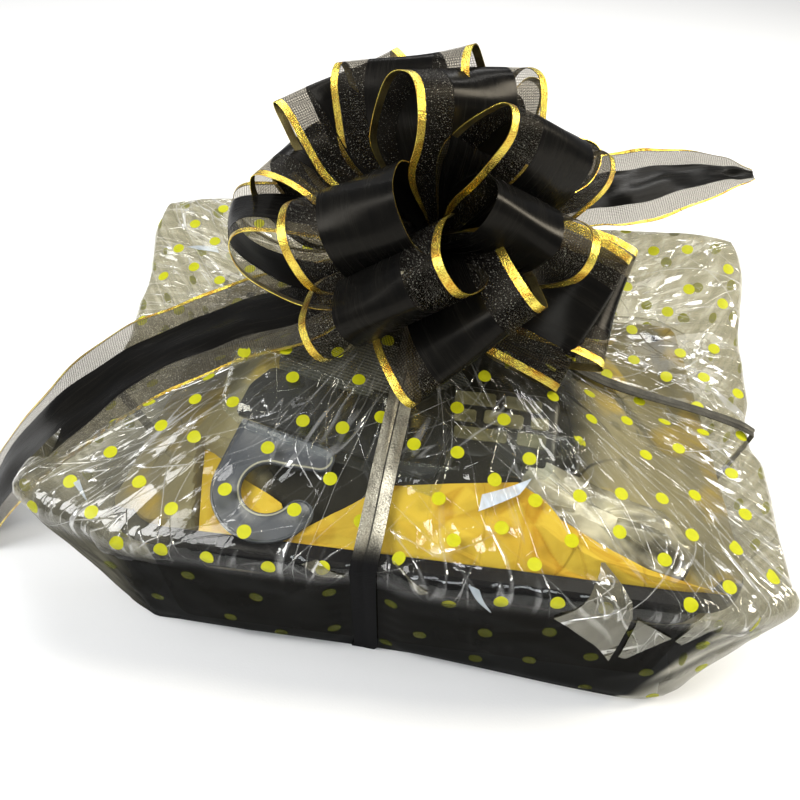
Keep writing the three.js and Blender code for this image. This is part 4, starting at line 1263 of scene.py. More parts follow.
@dataclass
class Bow:
    """Pull bow: teardrop loops round a knot of gathered ribbon."""

    ribbon: BowRibbon
    materials: list[Material]
    knot: Place = (-12.0, 28.0, 150.0)
    knot_radius: float = 18.0
    knot_half_height: float = 12.0
    knot_grid: tuple[int, int] = (24, 72)
    pinch: float = 0.12
    pinch_reach: float = 0.6
    start: float = 0.55
    steps: int = 72
    pleats: float = 2.5
    pleat_depth: float = 3.2
    curl: float = 1.6
    first_seed: int = 100

    def loop_band(self, loop: Loop, phase: Array) -> Band:
        """Way of one loop.

        Args:
            loop: The loop.
            phase: Places on the way round it, from the knot out and back to the knot.

        Returns:
            Its middle line, directions and width.
        """
        turn, rise, twist = (math.radians(angle) for angle in (loop.heading, loop.lift, loop.roll))
        out = np.array([math.cos(rise) * math.cos(turn), math.cos(rise) * math.sin(turn), math.sin(rise)])
        level = np.array([-math.sin(turn), math.cos(turn), 0.0])
        across = level * math.cos(twist) + np.cross(out, level) * math.sin(twist)
        opening = np.cross(out, across)
        away = (1 - np.cos(phase)) / 2
        apart = loop.opening * np.sin(phase) * np.sin(phase / 2) + loop.bend * away**2
        middles = np.array(self.knot) + np.outer(loop.reach * away, out) + np.outer(apart, opening)
        spread = self.pinch + (1 - self.pinch) * smooth_step(away, 0, self.pinch_reach)
        ways = np.tile(across, (len(phase), 1))
        facing = unit(np.cross(unit(np.gradient(middles, axis=0)), ways))
        return Band(middles, ways, facing, self.ribbon.width * spread)

    def loop_lifts(self, number: int, phase: Array) -> Array:
        """Pleats near the knot, a slight curl of the edges and slow waves along one loop.

        Args:
            number: Number of the loop, which sets its random draws.
            phase: Places on the way round it.

        Returns:
            Distance of each point from the flat band.
        """
        random = np.random.default_rng(self.first_seed + number)
        columns = self.ribbon.columns()[None, :]
        phase = phase[:, None]
        away = (1 - np.cos(phase)) / 2
        turn = random.uniform(0, 2 * math.pi)
        pleats = self.pleat_depth * fall(away, 0.02, 0.5) * np.sin(2 * math.pi * self.pleats * columns + turn)
        curl = random.uniform(-self.curl, self.curl) * (2 * columns) ** 2 * away
        first, second = random.uniform(0, 2 * math.pi, 2)
        waves = 0.6 * np.sin(3.1 * phase + 4 * columns + first)
        waves += 0.35 * np.sin(7.3 * phase - 7 * columns + second)
        return pleats + curl + waves * smooth_step(away, 0.1, 0.5)

    def knot_skin(self) -> Skin:
        """Gathered ribbon at the middle, in folds that run over it."""
        rings, around = self.knot_grid
        angle = full_turn(around)[None, :]
        rise = np.linspace(-math.pi / 2 + 0.05, math.pi / 2 - 0.05, rings)[:, None]
        folds = 1 + 0.1 * np.sin(9 * angle + 3 * rise) * np.cos(rise) + 0.05 * np.sin(17 * angle - 4 * rise)
        radius = self.knot_radius * np.cos(rise) * folds
        x, y, z = self.knot
        height = z + self.knot_half_height * np.sin(rise)
        points = together(x + radius * np.cos(angle), y + radius * np.sin(angle), height)
        flat = together(rise * self.knot_radius, angle * self.knot_radius)
        satin = Finish.SATIN.value
        skin = Skin()
        skin.add_rings(points, flat, satin, (satin, satin))
        return skin

    def build(self) -> Skin:
        """Make the loops and the knot, and hand over the loops' skin."""
        loops = Skin()
        phase = np.linspace(self.start, 2 * math.pi - self.start, self.steps)
        for number, loop in enumerate(LOOPS):
            self.ribbon.add(loops, self.loop_band(loop, phase), self.loop_lifts(number, phase), loop.tucked)
        settle(loops.make("bow_loops", self.materials, 60), Slot.RIBBON, "bow")
        settle(self.knot_skin().make("bow_knot", self.materials, 60), Slot.RIBBON, "bow")
        return loops


@dataclass(frozen=True)
class TailStop:
    """Front and back edge of a loose ribbon end at one place along it."""

    front: Place
    back: Place


@dataclass
class Tail:
    """Loose end of the bow's ribbon."""

    name: str
    node: str
    stops: tuple[TailStop, ...]
    flat: Pair
    rests_on: tuple[str, ...]
    ribbon: BowRibbon
    seed: int
    cut_area: float | None = None
    steps: int = 90
    wave: float = 1.3

    @staticmethod
    def smooth_line(stops: list, places: Array) -> Array:
        """Smooth run through stops that bends evenly however far apart they are.

        Args:
            stops: Points that the run passes, one row each.
            places: Where to read it, from 0 at the first stop to 1 at the last.

        Returns:
            One point for each place.
        """
        points = np.array(stops, float)
        longer = np.concatenate([[2 * points[0] - points[1]], points, [2 * points[-1] - points[-2]]])
        last = len(points) - 1
        scaled = np.clip(places * last, 0, last - TINY)
        first = scaled.astype(int)
        run = [longer[first + offset] for offset in range(4)]
        gap_in, gap, gap_out = (
            np.sqrt(np.maximum(np.linalg.norm(after - before, axis=1, keepdims=True), 1e-6))
            for before, after in zip(run, run[1:])
        )
        before, start, end, after = run
        slope_in = (start - before) / gap_in - (end - before) / (gap_in + gap) + (end - start) / gap
        slope_out = (end - start) / gap - (after - start) / (gap + gap_out) + (after - end) / gap_out
        return bent(start, end, slope_in * gap, slope_out * gap, (scaled - first)[:, None])

    def skin(self) -> Skin:
        """The ribbon as one closed band."""
        places = np.linspace(0, 1, self.steps)
        front = self.smooth_line([stop.front for stop in self.stops], places)
        back = self.smooth_line([stop.back for stop in self.stops], places)
        middles = (front + back) / 2
        across = unit(back - front)
        facing = np.cross(unit(np.gradient(middles, axis=0)), across)
        facing = unit(facing - across * (facing * across).sum(axis=1, keepdims=True))
        facing = np.where(facing[:, 2:] < 0, -facing, facing)
        band = Band(middles, across, facing, np.linalg.norm(back - front, axis=1))
        turns = np.random.default_rng(self.seed).uniform(0, 2 * math.pi, 3)
        columns = self.ribbon.columns()[None, :]
        run = places[:, None]
        waves = ((1.0, 1.3, 1.1), (0.45, 3.1, -2.3), (0.3, 0.6, 6.1))
        lifts = sum(
            height * self.wave * np.sin(2 * math.pi * (across_it * columns + along_it * run) + turn)
            for (height, across_it, along_it), turn in zip(waves, turns)
        )
        calm = smooth_step(run, 0, 0.15) * (1 - 0.8 * smooth_step(run, 0.84, 0.97))
        skin = Skin()
        self.ribbon.add(skin, band, lifts * calm)
        return skin

    def build(self, materials: list[Material]) -> Skin:
        """Make the tail and hand over its skin."""
        skin = self.skin()
        piece = settle(skin.make(self.name, materials, 60), Slot.RIBBON, self.node)
        list(self.rests_on)
        return skin


TAIL_LEFT_STOPS = (
    TailStop((-31, 8, 141), (-39, 30, 143)),
    TailStop((-54, -24, 125), (-85, 29, 127)),
    TailStop((-91, -18, 104), (-116, 40, 108)),
    TailStop((-114, -26, 95), (-138, 32, 99)),
    TailStop((-134, -41, 88), (-161, 19, 92)),
    TailStop((-148, -58, 81), (-181, 3, 82)),
    TailStop((-162, -76, 75), (-198, -16, 69)),
    TailStop((-199, -66, 33), (-226, -18, 36)),
    TailStop((-222, -69, 1.5), (-247, -27, 3.5)),
)
TAIL_RIGHT_STOPS = (
    TailStop((14, 36, 147), (6, 50, 150)),
    TailStop((44, 60, 146), (30, 103, 155)),
    TailStop((75, 84, 142), (68, 142, 157)),
    TailStop((95, 84, 146), (88, 141, 163)),
    TailStop((122, 99, 152), (112, 142, 166)),
    TailStop((148, 116, 157), (142, 143, 164)),
    TailStop((160, 127, 159), (159, 135, 162)),
)


@dataclass(frozen=True)
class Slope:
    """Slope that the packs lie on, and the turned frame of the card and its hook."""

    rise: float = 0.45
    start_y: float = -108.0
    start_z: float = 70.3
    corner: Pair = (-90.0, -51.0)
    turn: float = -14.4

    def height(self, y: Array | float) -> Array | float:
        """Height of the slope at a place to the back."""
        return self.start_z + self.rise * (y - self.start_y)

    def frame(self, lift: float = 0.0) -> Matrix:
        """Frame of a plate on the slope.

        Args:
            lift: How far off the slope it lies.

        Returns:
            Frame with its origin at the card's near left corner and its third axis off the slope.
        """
        normal = Vector((0, -self.rise, 1)).normalized()
        level = Vector((math.cos(math.radians(self.turn)), math.sin(math.radians(self.turn)), 0))
        along = (level - normal * level.dot(normal)).normalized()
        x, y = self.corner
        corner = Vector((x, y, self.height(y))) + normal * lift
        turned = Matrix((along, normal.cross(along), normal)).transposed().to_4x4()
        return Matrix.Translation(corner) @ turned

    def outline(self, corners: tuple[Pair, ...], lift: float) -> Array:
        """Corners of a plate over the slope, given by X and Y, in the plate's own frame."""
        points = np.array([(x, y, self.height(y) + lift) for x, y in corners])
        return placed(points, self.frame(lift).inverted())[:, :2]


def placed(points: Array, frame: Matrix) -> Array:
    """Points of a turned frame as places in the basket."""
    matrix = np.array(frame)
    return points @ matrix[:3, :3].T + matrix[:3, 3]


@dataclass
class Plate:
    """Flat moulded or cut piece: an outline, rounded at its upper rim, with a set-in middle."""

    outline: Array
    thickness: float
    rings: tuple[Pair, ...]
    rim_rings: int = 0

    def skin(self, frame: Matrix, skin: Skin | None = None) -> Skin:
        """Closed skin of the plate.

        Args:
            frame: Frame that the outline lies in, with its third axis up from the plate.
            skin: Skin that the plate is added to, if there is one.

        Returns:
            The skin, whose first faces have finish 0 and whose middle has finish 1.
        """
        skin = skin or Skin()
        following = np.roll(self.outline, -1, axis=0) - np.roll(self.outline, 1, axis=0)
        inwards = unit(together(-following[:, 1], following[:, 0]))
        rings = []
        for inset, height in ((0.0, -self.thickness), *self.rings):
            x, y = (self.outline + inwards * inset).T
            rings.append(together(x, y, height))
        flat = np.array(rings)
        between = np.arange(len(self.rings)) >= len(self.rings) - self.rim_rings
        finishes = np.repeat(between.astype(int), len(self.outline))
        skin.add_rings(placed(flat, frame), flat[..., :2], finishes, (0, 1))
        return skin


@dataclass(frozen=True)
class ClearPlate:
    """Clear stiff plastic over the goods: X and Y of its corners, anticlockwise, and its lift."""

    name: str
    node: str
    corners: tuple[Pair, ...]
    lift: float
    thickness: float = 0.5
    rounding: float = 2.5
    rings: tuple[Pair, ...] = ((0.0, 0.1), (0.15, 0.3), (0.5, 0.35), (0.8, 0.1), (1.0, 0.0))

    def build(self, slope: Slope, material: Material) -> Skin:
        """Make the plate over a slope, with rounded corners and a raised rim, and hand over its skin."""
        outline = rounded(slope.outline(self.corners, self.lift), self.rounding, 7, 2)
        skin = Plate(outline, self.thickness, self.rings).skin(slope.frame(self.lift))
        settle(skin.make(self.name, [material] * 2, 30), Slot.FILM, self.node)
        return skin


CLEAR_PLATES = (
    ClearPlate(
        "clear_card_sleeve",
        "hanger_card",
        (
            (-96.0, -52.0), (-84.0, -60.0), (4.0, -80.0), (12.0, -56.0), (4.0, -46.0), (-82.0, -22.0),
            (-97.0, -24.0),
        ),
        3.0,
    ),
    ClearPlate("clear_tab", "hanger_card", ((-15.5, -76.0), (13.0, -67.6), (-15.8, -67.3)), 4.6, 0.4, 1.2),
    ClearPlate(
        "clear_pane", "printed_pack", ((24.5, -68.5), (49.0, -68.0), (66.0, -48.2), (27.4, -47.9)),
        4.2, 0.4, 1.5,
    ),
)


@dataclass
class Hanger:
    """Black hanger card with a grey plastic hook at its front."""

    slope: Slope
    length: float = 94.0
    width: float = 28.0
    thickness: float = 2.4
    corner_cut: float = 6.0
    corner_radius: float = 1.6
    hook_thickness: float = 1.8
    hook_centre: Pair = (29.0, -28.0)
    outer_radius: float = 24.5
    inner_radius: float = 11.5
    tip_angle: float = math.radians(-20.0)
    bar_right: float = 51.0
    bar_top: float = -1.2
    bar_height: float = 12.5
    line_inset: float = 1.1
    line_width: float = 0.8
    line_thickness: float = 0.16
    line_crown: float = 0.1
    line_rise: float = 0.08
    card_rings: tuple[Pair, ...] = ((0.0, -0.25), (0.2, 0.0), (1.0, 0.0))
    hook_rings: tuple[Pair, ...] = (
        (0.0, -0.5), (0.15, -0.15), (0.5, 0.0), (1.0, 0.0), (1.25, -0.2), (1.5, -0.35),
    )

    @staticmethod
    def arc(centre: Pair, radius: float, start: float, end: float, steps: int) -> Array:
        """Points along an arc, from one angle to another in radians."""
        angle = np.linspace(start, end, steps)
        return together(centre[0] + radius * np.cos(angle), centre[1] + radius * np.sin(angle))

    def bar_end(self) -> tuple[Pair, float]:
        """Middle and radius of the round end of the hook's bar."""
        radius = self.bar_height / 2
        return (self.bar_right - radius, self.bar_top - radius), radius

    def hook_outline(self) -> Array:
        """Outline of the hook, anticlockwise."""
        x, y = self.hook_centre
        end, end_radius = self.bar_end()
        tip = self.tip_angle
        middle = (self.outer_radius + self.inner_radius) / 2
        tip_radius = (self.outer_radius - self.inner_radius) / 2
        tip_centre = (x + middle * math.cos(tip), y + middle * math.sin(tip))
        opening = math.asin(max(-1.0, min(1.0, (self.bar_top - self.bar_height - y) / self.inner_radius)))
        clockwise = [
            np.linspace((x - self.outer_radius, self.bar_top), (end[0], self.bar_top), 12)[:-1],
            self.arc(end, end_radius, math.pi / 2, -math.pi / 2, 14),
            self.arc((x, y), self.inner_radius, opening, tip + 2 * math.pi, 40),
            self.arc(tip_centre, tip_radius, tip + math.pi, tip, 14)[1:-1],
            self.arc((x, y), self.outer_radius, tip, -math.pi, 60),
        ]
        return np.concatenate(clockwise)[::-1]

    def add_line(self, skin: Skin, frame: Matrix) -> None:
        """Add the raised line that runs round the bar's end and the hook's opening, coloured pale as a painted
        highlight.

        Args:
            skin: Skin of the hook.
            frame: Frame of the hook.
        """
        end, end_radius = self.bar_end()
        opening = self.inner_radius + self.line_inset
        path = [
            self.arc(end, end_radius - self.line_inset, 0.5, -math.pi / 2, 12),
            self.arc(self.hook_centre, opening, math.pi / 2, self.tip_angle + 2 * math.pi, 48),
        ]
        x, y = np.concatenate(path).T
        middles = placed(together(x, y, self.line_rise), frame)
        facing = np.tile(np.array(frame)[:3, 2], (len(x), 1))
        across = unit(np.cross(facing, np.gradient(middles, axis=0)))
        band = Band(middles, across, facing, np.full(len(x), self.line_width))
        lifts = np.tile([0.0, self.line_crown, 0.0], (len(x), 1))
        band.add_to(skin, np.array([-0.5, 0.0, 0.5]), lifts, self.line_thickness, 2, 2)

    def card_outline(self) -> Array:
        """Outline of the card with small rounded corners, anticlockwise."""
        cut = self.corner_cut
        near = [(0.0, 0.0), (self.length, 0.0)]
        far = [(self.length, self.width), (cut, self.width), (0.0, self.width - 2 * cut)]
        return rounded(np.array(near + far), self.corner_radius, 6, 1)

    def build(self) -> list[Skin]:
        """Make the card and the hook, and hand over their skins."""
        frame = self.slope.frame()
        card = Plate(self.card_outline(), self.thickness, self.card_rings, 1).skin(frame)
        hook = Plate(self.hook_outline(), self.hook_thickness, self.hook_rings, 1).skin(frame)
        self.add_line(hook, frame)
        card_piece = card.make("hanger_card_black", [CARD_BLACK.material()] * 2)
        finishes = [finish.material() for finish in (HOOK_RIM, HOOK_PLASTIC, PAINTED_HOOK_HIGHLIGHT)]
        hook_piece = hook.make("hanger_hook_grey", finishes)
        settle(card_piece, Slot.CARD, "hanger_card")
        settle(hook_piece, Slot.HOOK, "hanger_hook")
        return [card, hook]


@dataclass
class SoftPack:
    """Soft or boxed pack: a rounded block, crumpled and laid in its place."""

    name: str
    node: str
    slot: Slot
    finish: Look
    size: Place
    roundness: float
    crumple: CrumpleField
    frame: Matrix
    around: int = 120
    rings: int = 56

    def skin(self) -> Skin:
        """Closed skin of the pack, set in from its plain form by its own crumples."""
        rise = np.linspace(-math.pi / 2, math.pi / 2, self.rings)[1:-1, None]
        angle = full_turn(self.around)
        waves = (np.cos(angle), np.sin(angle), np.sin(rise))
        wave_x, wave_y, wave_z = (np.sign(wave) * np.abs(wave) ** self.roundness for wave in waves)
        spread = np.cos(rise) ** self.roundness
        points = together(spread * wave_x, spread * wave_y, wave_z) * (np.array(self.size) / 2)
        girth = 2 * (self.size[0] + self.size[1])
        columns = np.linspace(0, girth, self.around, endpoint=False)
        rows = np.linspace(0, self.size[2] + self.size[1], len(rise))
        relief = self.crumple.over(columns, rows, wrap=True)
        points -= grid_normals(points, wrap=True) * relief[..., None]
        skin = Skin()
        skin.add_rings(placed(points, self.frame), points[..., :2])
        return skin

    def build(self) -> Skin:
        """Make the pack and hand over its skin."""
        skin = self.skin()
        settle(skin.make(self.name, [self.finish.material()], 40), self.slot, self.node)
        return skin


def laid(centre: Place, tilt: float, turn: float, dip: float = 0.0) -> Matrix:
    """Frame of a pack that is tilted back, dipped at its right end, turned and moved to its place."""
    turned = Matrix.Rotation(math.radians(turn), 4, "Z") @ Matrix.Rotation(math.radians(-dip), 4, "Y")
    return Matrix.Translation(centre) @ turned @ Matrix.Rotation(math.radians(tilt), 4, "X")


@dataclass(frozen=True)
class PrintField:
    """Raised field of the printed pack: its middle, its size and its turn, on the pack's top."""

    middle: Pair
    size: Pair
    turn: float
    corner_share: float = 0.14
    thickness: float = 0.9
    rings: tuple[Pair, ...] = ((0.0, -0.1), (0.12, 0.0))

    def add_to(self, skin: Skin, top: Matrix) -> None:
        """Add the field as a thin block with cut corners.

        Args:
            skin: Skin that takes the field.
            top: Frame of the pack's top.
        """
        sharp = np.array([(-1, -1), (1, -1), (1, 1), (-1, 1)]) * self.size / 2
        corners = rounded(sharp, self.corner_share * min(self.size), 2, 1)
        turn = math.radians(self.turn)
        turned = corners @ np.array([(math.cos(turn), math.sin(turn)), (-math.sin(turn), math.cos(turn))])
        Plate(turned + self.middle, self.thickness, self.rings).skin(top, skin)


PACK_FIELDS = (
    PrintField((-12.5, 11.0), (19.0, 7.0), 3.0),
    PrintField((9.5, 11.4), (17.0, 6.4), -2.0),
    PrintField((-16.0, 1.6), (10.0, 6.6), 2.0),
    PrintField((1.5, 2.2), (18.0, 7.2), -2.0),
    PrintField((18.0, 2.6), (8.0, 6.0), 3.0),
    PrintField((-8.0, -7.0), (24.0, 6.4), 2.0),
    PrintField((15.0, -6.4), (13.0, 7.0), -3.0),
)


@dataclass
class Goods:
    """Packs on the slope: folded cloth, the printed pack with its fields and the smoky pouch."""

    slope: Slope
    field_lift: float = 0.3

    def build(self) -> list[Skin]:
        """Make the packs and hand over their skins."""
        cloth_frame = self.slope.frame(-8.0) @ Matrix.Translation((48.0, 47.3, -6.0))
        cloth = SoftPack(
            "folded_knit", "clothing_pack", Slot.CLOTH, DARK_KNIT, (92.0, 38.0, 12.0), 0.45,
            CrumpleField(61, 16.0, 1.6), cloth_frame,
        )
        printed = SoftPack(
            "printed_pack_black", "printed_pack", Slot.PRINTED, PACK_BLACK, (54.0, 38.0, 26.0), 0.2,
            CrumpleField(63, 18.0, 0.3), laid((29.0, -32.0, 84.0), 23.0, -3.0),
        )
        pouch = SoftPack(
            "smoky_pouch_right", "pouch", Slot.POUCH, POUCH_FOIL, (92.0, 36.0, 25.0), 0.55,
            CrumpleField(65, 9.0, 3.4, 1.6), laid((72.0, -70.0, 72.0), 20.0, -20.0, -7.0),
        )
        skins = [cloth.build(), printed.build()]
        fields = Skin()
        top = printed.frame @ Matrix.Translation((0, 0, printed.size[2] / 2 + self.field_lift))
        for pack_field in PACK_FIELDS:
            pack_field.add_to(fields, top)
        settle(fields.make("pack_fields", [PACK_PRINT.material()] * 2), Slot.PRINTED, printed.node)
        return [*skins, fields, pouch.build()]


@dataclass
class Filling:
    """Tissue in the tray: a pale crumpled bed and the yellow sheet that rises along the front."""

    tray: Tray
    form: FilmForm
    slope: Slope
    drop: float = 1.2
    sink: float = 5.5
    crown: float = 33.0
    rise: float = 0.43
    rise_start: float = -102.0
    back_fall: Place = (5.0, 96.0, 0.8)
    side_fall: Place = (72.0, 124.0, 0.85)
    middle: float = -5.0
    inset: float = 3.2
    bed_steps: tuple[int, int] = (180, 140)
    bed_corner: float = 0.035
    sheet_steps: tuple[int, int] = (220, 70)
    sheet_span: float = 46.0
    rim_cover: float = 9.6
    film_gap: float = 1.6
    hook_gap: float = 3.0
    hook_from: Pair = (-104.0, -94.0)
    hook_fade: Pair = (-42.0, -20.0)
    hook_back: float = -45.0
    below_sheet: float = 9.0
    end_slant: float = 12.0
    slant_reach: float = 40.0
    crest: tuple[Place, ...] = (
        (-106.0, -51.0, 72.0), (-100.0, -55.0, 74.0), (-92.0, -62.0, 75.5), (-80.0, -73.0, 77.0),
        (-68.0, -81.0, 78.0), (-61.0, -85.5, 77.5), (-56.5, -98.0, 73.0), (-48.8, -94.0, 75.4),
        (-39.0, -87.3, 78.5), (-28.7, -81.9, 82.5), (-16.0, -76.0, 87.0), (9.0, -72.0, 89.5),
        (38.0, -68.0, 91.5), (50.0, -74.0, 89.0), (57.0, -81.0, 86.0), (73.0, -88.0, 82.5),
        (93.0, -95.0, 79.0), (113.0, -98.0, 76.0), (126.0, -99.0, 72.0),
    )

    def height(self, x: Array, y: Array) -> Array:
        """Smooth height of the bed over a place inside the rim."""
        rise = np.clip(self.rise * (y - self.rise_start), 0, self.crown)
        *back, back_share = self.back_fall
        *side, side_share = self.side_fall
        rise = rise * (1 - back_share * smooth_step(y, *back))
        rise = rise * (1 - side_share * smooth_step(np.abs(x - self.middle), *side))
        return self.tray.height - self.drop - self.sink + rise

    def under_film(self, points: Array) -> Array:
        """Points held under the film, and under the hook where it lies."""
        film = self.form.tree()
        held = points.reshape(-1, 3)
        for point in held:
            height = surface(film, *point[:2], from_below=True)
            if height is not None:
                point[2] = min(point[2], height - self.film_gap)
        x, y, z = held.T
        by_hook = smooth_step(x, *self.hook_from) * fall(x, *self.hook_fade) * (y < self.hook_back)
        held[:, 2] -= by_hook * np.maximum(z - self.slope.height(y) + self.hook_gap, 0)
        return held.reshape(points.shape)

    def bed_skin(self) -> Skin:
        """Crumpled bed that fills the tray and lies over its rim at the sides and the back."""
        inner_x, inner_y = self.tray.inner_half(self.inset)
        across, along = (np.linspace(-1, 1, steps) for steps in self.bed_steps)
        u, v = np.meshgrid(across, along)
        half_y = inner_y + self.rim_cover * smooth_step(v, -0.2, 0.4)
        x = u * (inner_x + self.rim_cover) * (1 - self.bed_corner * np.abs(v) ** 9)
        y = v * half_y * (1 - self.bed_corner * np.abs(u) ** 9)
        coarse = CrumpleField(41, 20.0, 9.0).over(across * inner_x, along * inner_y)
        fine = CrumpleField(42, 7.0, 2.6).over(across * inner_x, along * inner_y)
        outside = np.maximum(np.abs(x) - (inner_x - 6), y - (inner_y - 6))
        relief = (coarse + fine - 4.0) * fall(outside, -8, 4)
        crest_x, crest_y, _ = np.array(self.crest).T
        end_x = np.interp(y, (-inner_y, crest_y[0]), (crest_x[0] + self.end_slant, crest_x[0]))
        covered = smooth_step(np.interp(x, crest_x, crest_y) - y, -5, 3)
        covered *= smooth_step(x - end_x, -4, 2) * fall(x, 118, 126)
        z = self.height(x, y) + relief * (1 - covered) - self.below_sheet * covered
        over_rim = self.tray.height + 0.9 + 0.4 * fine - 3.0 * smooth_step(outside, 13, 15.5)
        cover = smooth_step(outside, -2, 6)
        z = z * (1 - cover) + over_rim * cover - 9.0 * smooth_step(-v, 0.94, 1.0)
        points = self.under_film(together(x, y, z))
        x, y = points[..., 0], points[..., 1]
        # Painted shade: the middle of the bed, behind the hook and the card and under the bow, takes the
        # near-black deep colour.
        shaded = fall(-x, 62, 84) * fall(x, 52, 88) * fall(y, 40, 80)
        skin = Skin()
        skin.add(points, grid_faces(*x.shape), 0, points[..., :2], {Mark.FOLD: shaded})
        return skin

    def sheet_skin(self) -> Skin:
        """Yellow sheet from the rim up to its uneven crest, with sharp creases."""
        columns, rows = self.sheet_steps
        crest_x, crest_y, crest_z = np.array(self.crest).T
        x = np.linspace(crest_x[0], crest_x[-1], columns)
        top_y = np.interp(x, crest_x, crest_y)
        top_z = np.interp(x, crest_x, crest_z)
        rise = np.linspace(0, 1, rows)[:, None]
        front_y = -self.tray.inner_half(self.inset)[1]
        base_z = self.tray.height - 1.0
        spans = np.linspace(0, self.sheet_span, rows)
        coarse = CrumpleField(51, 27.0, 11.0).over(x, spans)
        coarse += CrumpleField(53, 13.0, 3.6).over(x, spans)
        fine = CrumpleField(57, 6.5, 0.9).over(x, spans)
        room = np.clip((top_z - base_z) / 20, 0.1, 1)
        swell = np.sin(np.clip(rise, 0.04, 0.96) * math.pi) ** 0.5 * room
        z = base_z + (top_z - base_z) * np.sin(rise * math.pi / 2) ** 0.85 + (coarse + fine - 11.0) * swell
        slanted = x + self.end_slant * (1 - rise) * fall(x, x[0], x[0] + self.slant_reach)
        points = self.under_film(together(slanted, front_y + (top_y - front_y) * rise, z))
        lean = np.gradient(coarse, axis=1)
        bend = np.abs(np.gradient(lean, axis=1))
        # Painted shade: the fold mark deepens the colour along sharp bends and on facets that lean away from
        # the light.
        folds = np.clip(bend / 0.12, 0, 1) * 0.2 + np.clip(0.2 - 1.3 * lean, 0, 0.6)
        skin = Skin()
        skin.add(points, grid_faces(rows, columns), 0, points[..., :2], {Mark.FOLD: folds})
        return skin

    def build(self) -> list[Skin]:
        """Make the bed and the sheet, and hand over their skins."""
        bed = self.bed_skin()
        sheet = self.sheet_skin()
        settle(bed.make("tissue_bed", [PALE_TISSUE.material()], 25), Slot.TISSUE, "tissue")
        settle(sheet.make("tissue_sheet", [YELLOW_TISSUE.material()], 18), Slot.TISSUE, "tissue")
        return [bed, sheet]


@dataclass(frozen=True)
class Pleat:
    """Fold of the film that is laid flat over its front, or on its top, and whether it carries a painted glint.

    Its four corners are given by X and Z on the front and by X and Y on the top.
    """

    corners: tuple[Pair, ...]
    density: float
    # Bright: the fold carries the painted glint finish.
    bright: bool = False
    on_top: bool = False


FILM_PLEATS = (
    Pleat(((82.0, 78.0), (84.0, 78.0), (91.0, 33.0), (57.0, 60.0)), 0.9),
    Pleat(((89.0, 66.0), (109.0, 54.0), (98.0, 36.0), (94.0, 37.0)), 0.55),
    Pleat(((112.0, 68.0), (124.0, 68.0), (116.0, 50.0), (112.0, 52.0)), 0.6),
    Pleat(((-47.0, 72.5), (-41.0, 74.5), (-29.0, 67.0), (-32.0, 66.0)), 0.5),
    Pleat(((-12.0, 74.5), (-7.0, 74.5), (5.0, 69.0), (2.0, 67.0)), 0.55),
    # The bright folds carry painted glints.
    Pleat(((20.5, 73.0), (25.0, 72.0), (31.5, 60.0), (31.0, 60.0)), 0.3, bright=True),
    Pleat(((22.1, -84.0), (23.6, -77.3), (43.8, -69.1), (38.5, -75.6)), 0.7, bright=True, on_top=True),
    Pleat(((-150.4, -89.7), (-148.4, -88.9), (-141.3, -97.0), (-141.6, -98.0)), 0.22, bright=True, on_top=True),
    Pleat(((-151.0, 70.5), (-133.6, 73.0), (-130.7, 68.6), (-143.0, 69.0)), 0.28, bright=True, on_top=True),
)


@dataclass(frozen=True)
class FilmMarks:
    """Where the film is gathered, and where painted shade darkens it over the tray's walls, with painted shade
    streaks from the right ear's tip.
    """

    left: Pair = (92.0, 122.0)
    right: Pair = (98.0, 130.0)
    back: Pair = (36.0, 84.0)
    packs_density: float = 0.35
    packs_x: Pair = (56.0, 80.0)
    packs_y: Pair = (-72.0, -52.0)
    front: Pair = (66.0, 84.0)
    wall_top: Pair = (58.0, 69.0)
    lip_top: Pair = (66.0, 73.0)
    lip_ends: Pair = (122.0, 140.0)
    corner_foot: float = 95.0
    corner_lean: float = 33.0
    ear_tip: Pair = (162.0, 72.0)
    corner_shade: float = 0.14
    streak_shade: float = 0.7
    streak_loss: float = 0.45
    side_front: Pair = (50.0, 66.0)
    side_top: Pair = (44.0, 62.0)
    side_shade: float = 0.85
    side_thinning: float = 0.7

    def over(self, points: Array) -> dict[Mark, Array]:
        """Marks of a grid of the film.

        Args:
            points: The grid.

        Returns:
            How dense it is and how much painted shade it takes, one value for each point.
        """
        x, y, z = np.moveaxis(points, -1, 0)
        over_packs = self.packs_density * smooth_step(x, *self.packs_x) * smooth_step(y, *self.packs_y)
        ends = [smooth_step(-x, *self.left), smooth_step(x, *self.right), smooth_step(y, *self.back)]
        front = smooth_step(-y, *self.front)
        lip = front * fall(z, *self.lip_top) * fall(np.abs(x), *self.lip_ends)
        # Painted shade on the sides and the back, where the black tray stands behind the film.
        beside = fall(-y, *self.side_front) * fall(z, *self.side_top)
        dense = np.max([*ends, over_packs], axis=0) * (1 - lip) * (1 - self.side_thinning * beside)
        # Painted shade on the front wall, fading at the right corner into painted shade streaks.
        past_by = x - self.corner_foot - self.corner_lean * np.clip(z / 70, 0, 1)
        past = smooth_step(past_by, -2, 2)
        fan = np.arctan2(self.ear_tip[1] - z, self.ear_tip[0] - x)
        streaks = 0.5 + 0.35 * np.sin(27 * fan) + 0.15 * np.sin(49 * fan + x / 13)
        streaks *= self.streak_shade - self.streak_loss * smooth_step(past_by, 0, 30)
        wall = front * fall(z, *self.wall_top) * (1 - past + past * (self.corner_shade + streaks))
        return {Mark.GATHER: dense, Mark.SHADE: np.maximum(wall, self.side_shade * beside)}


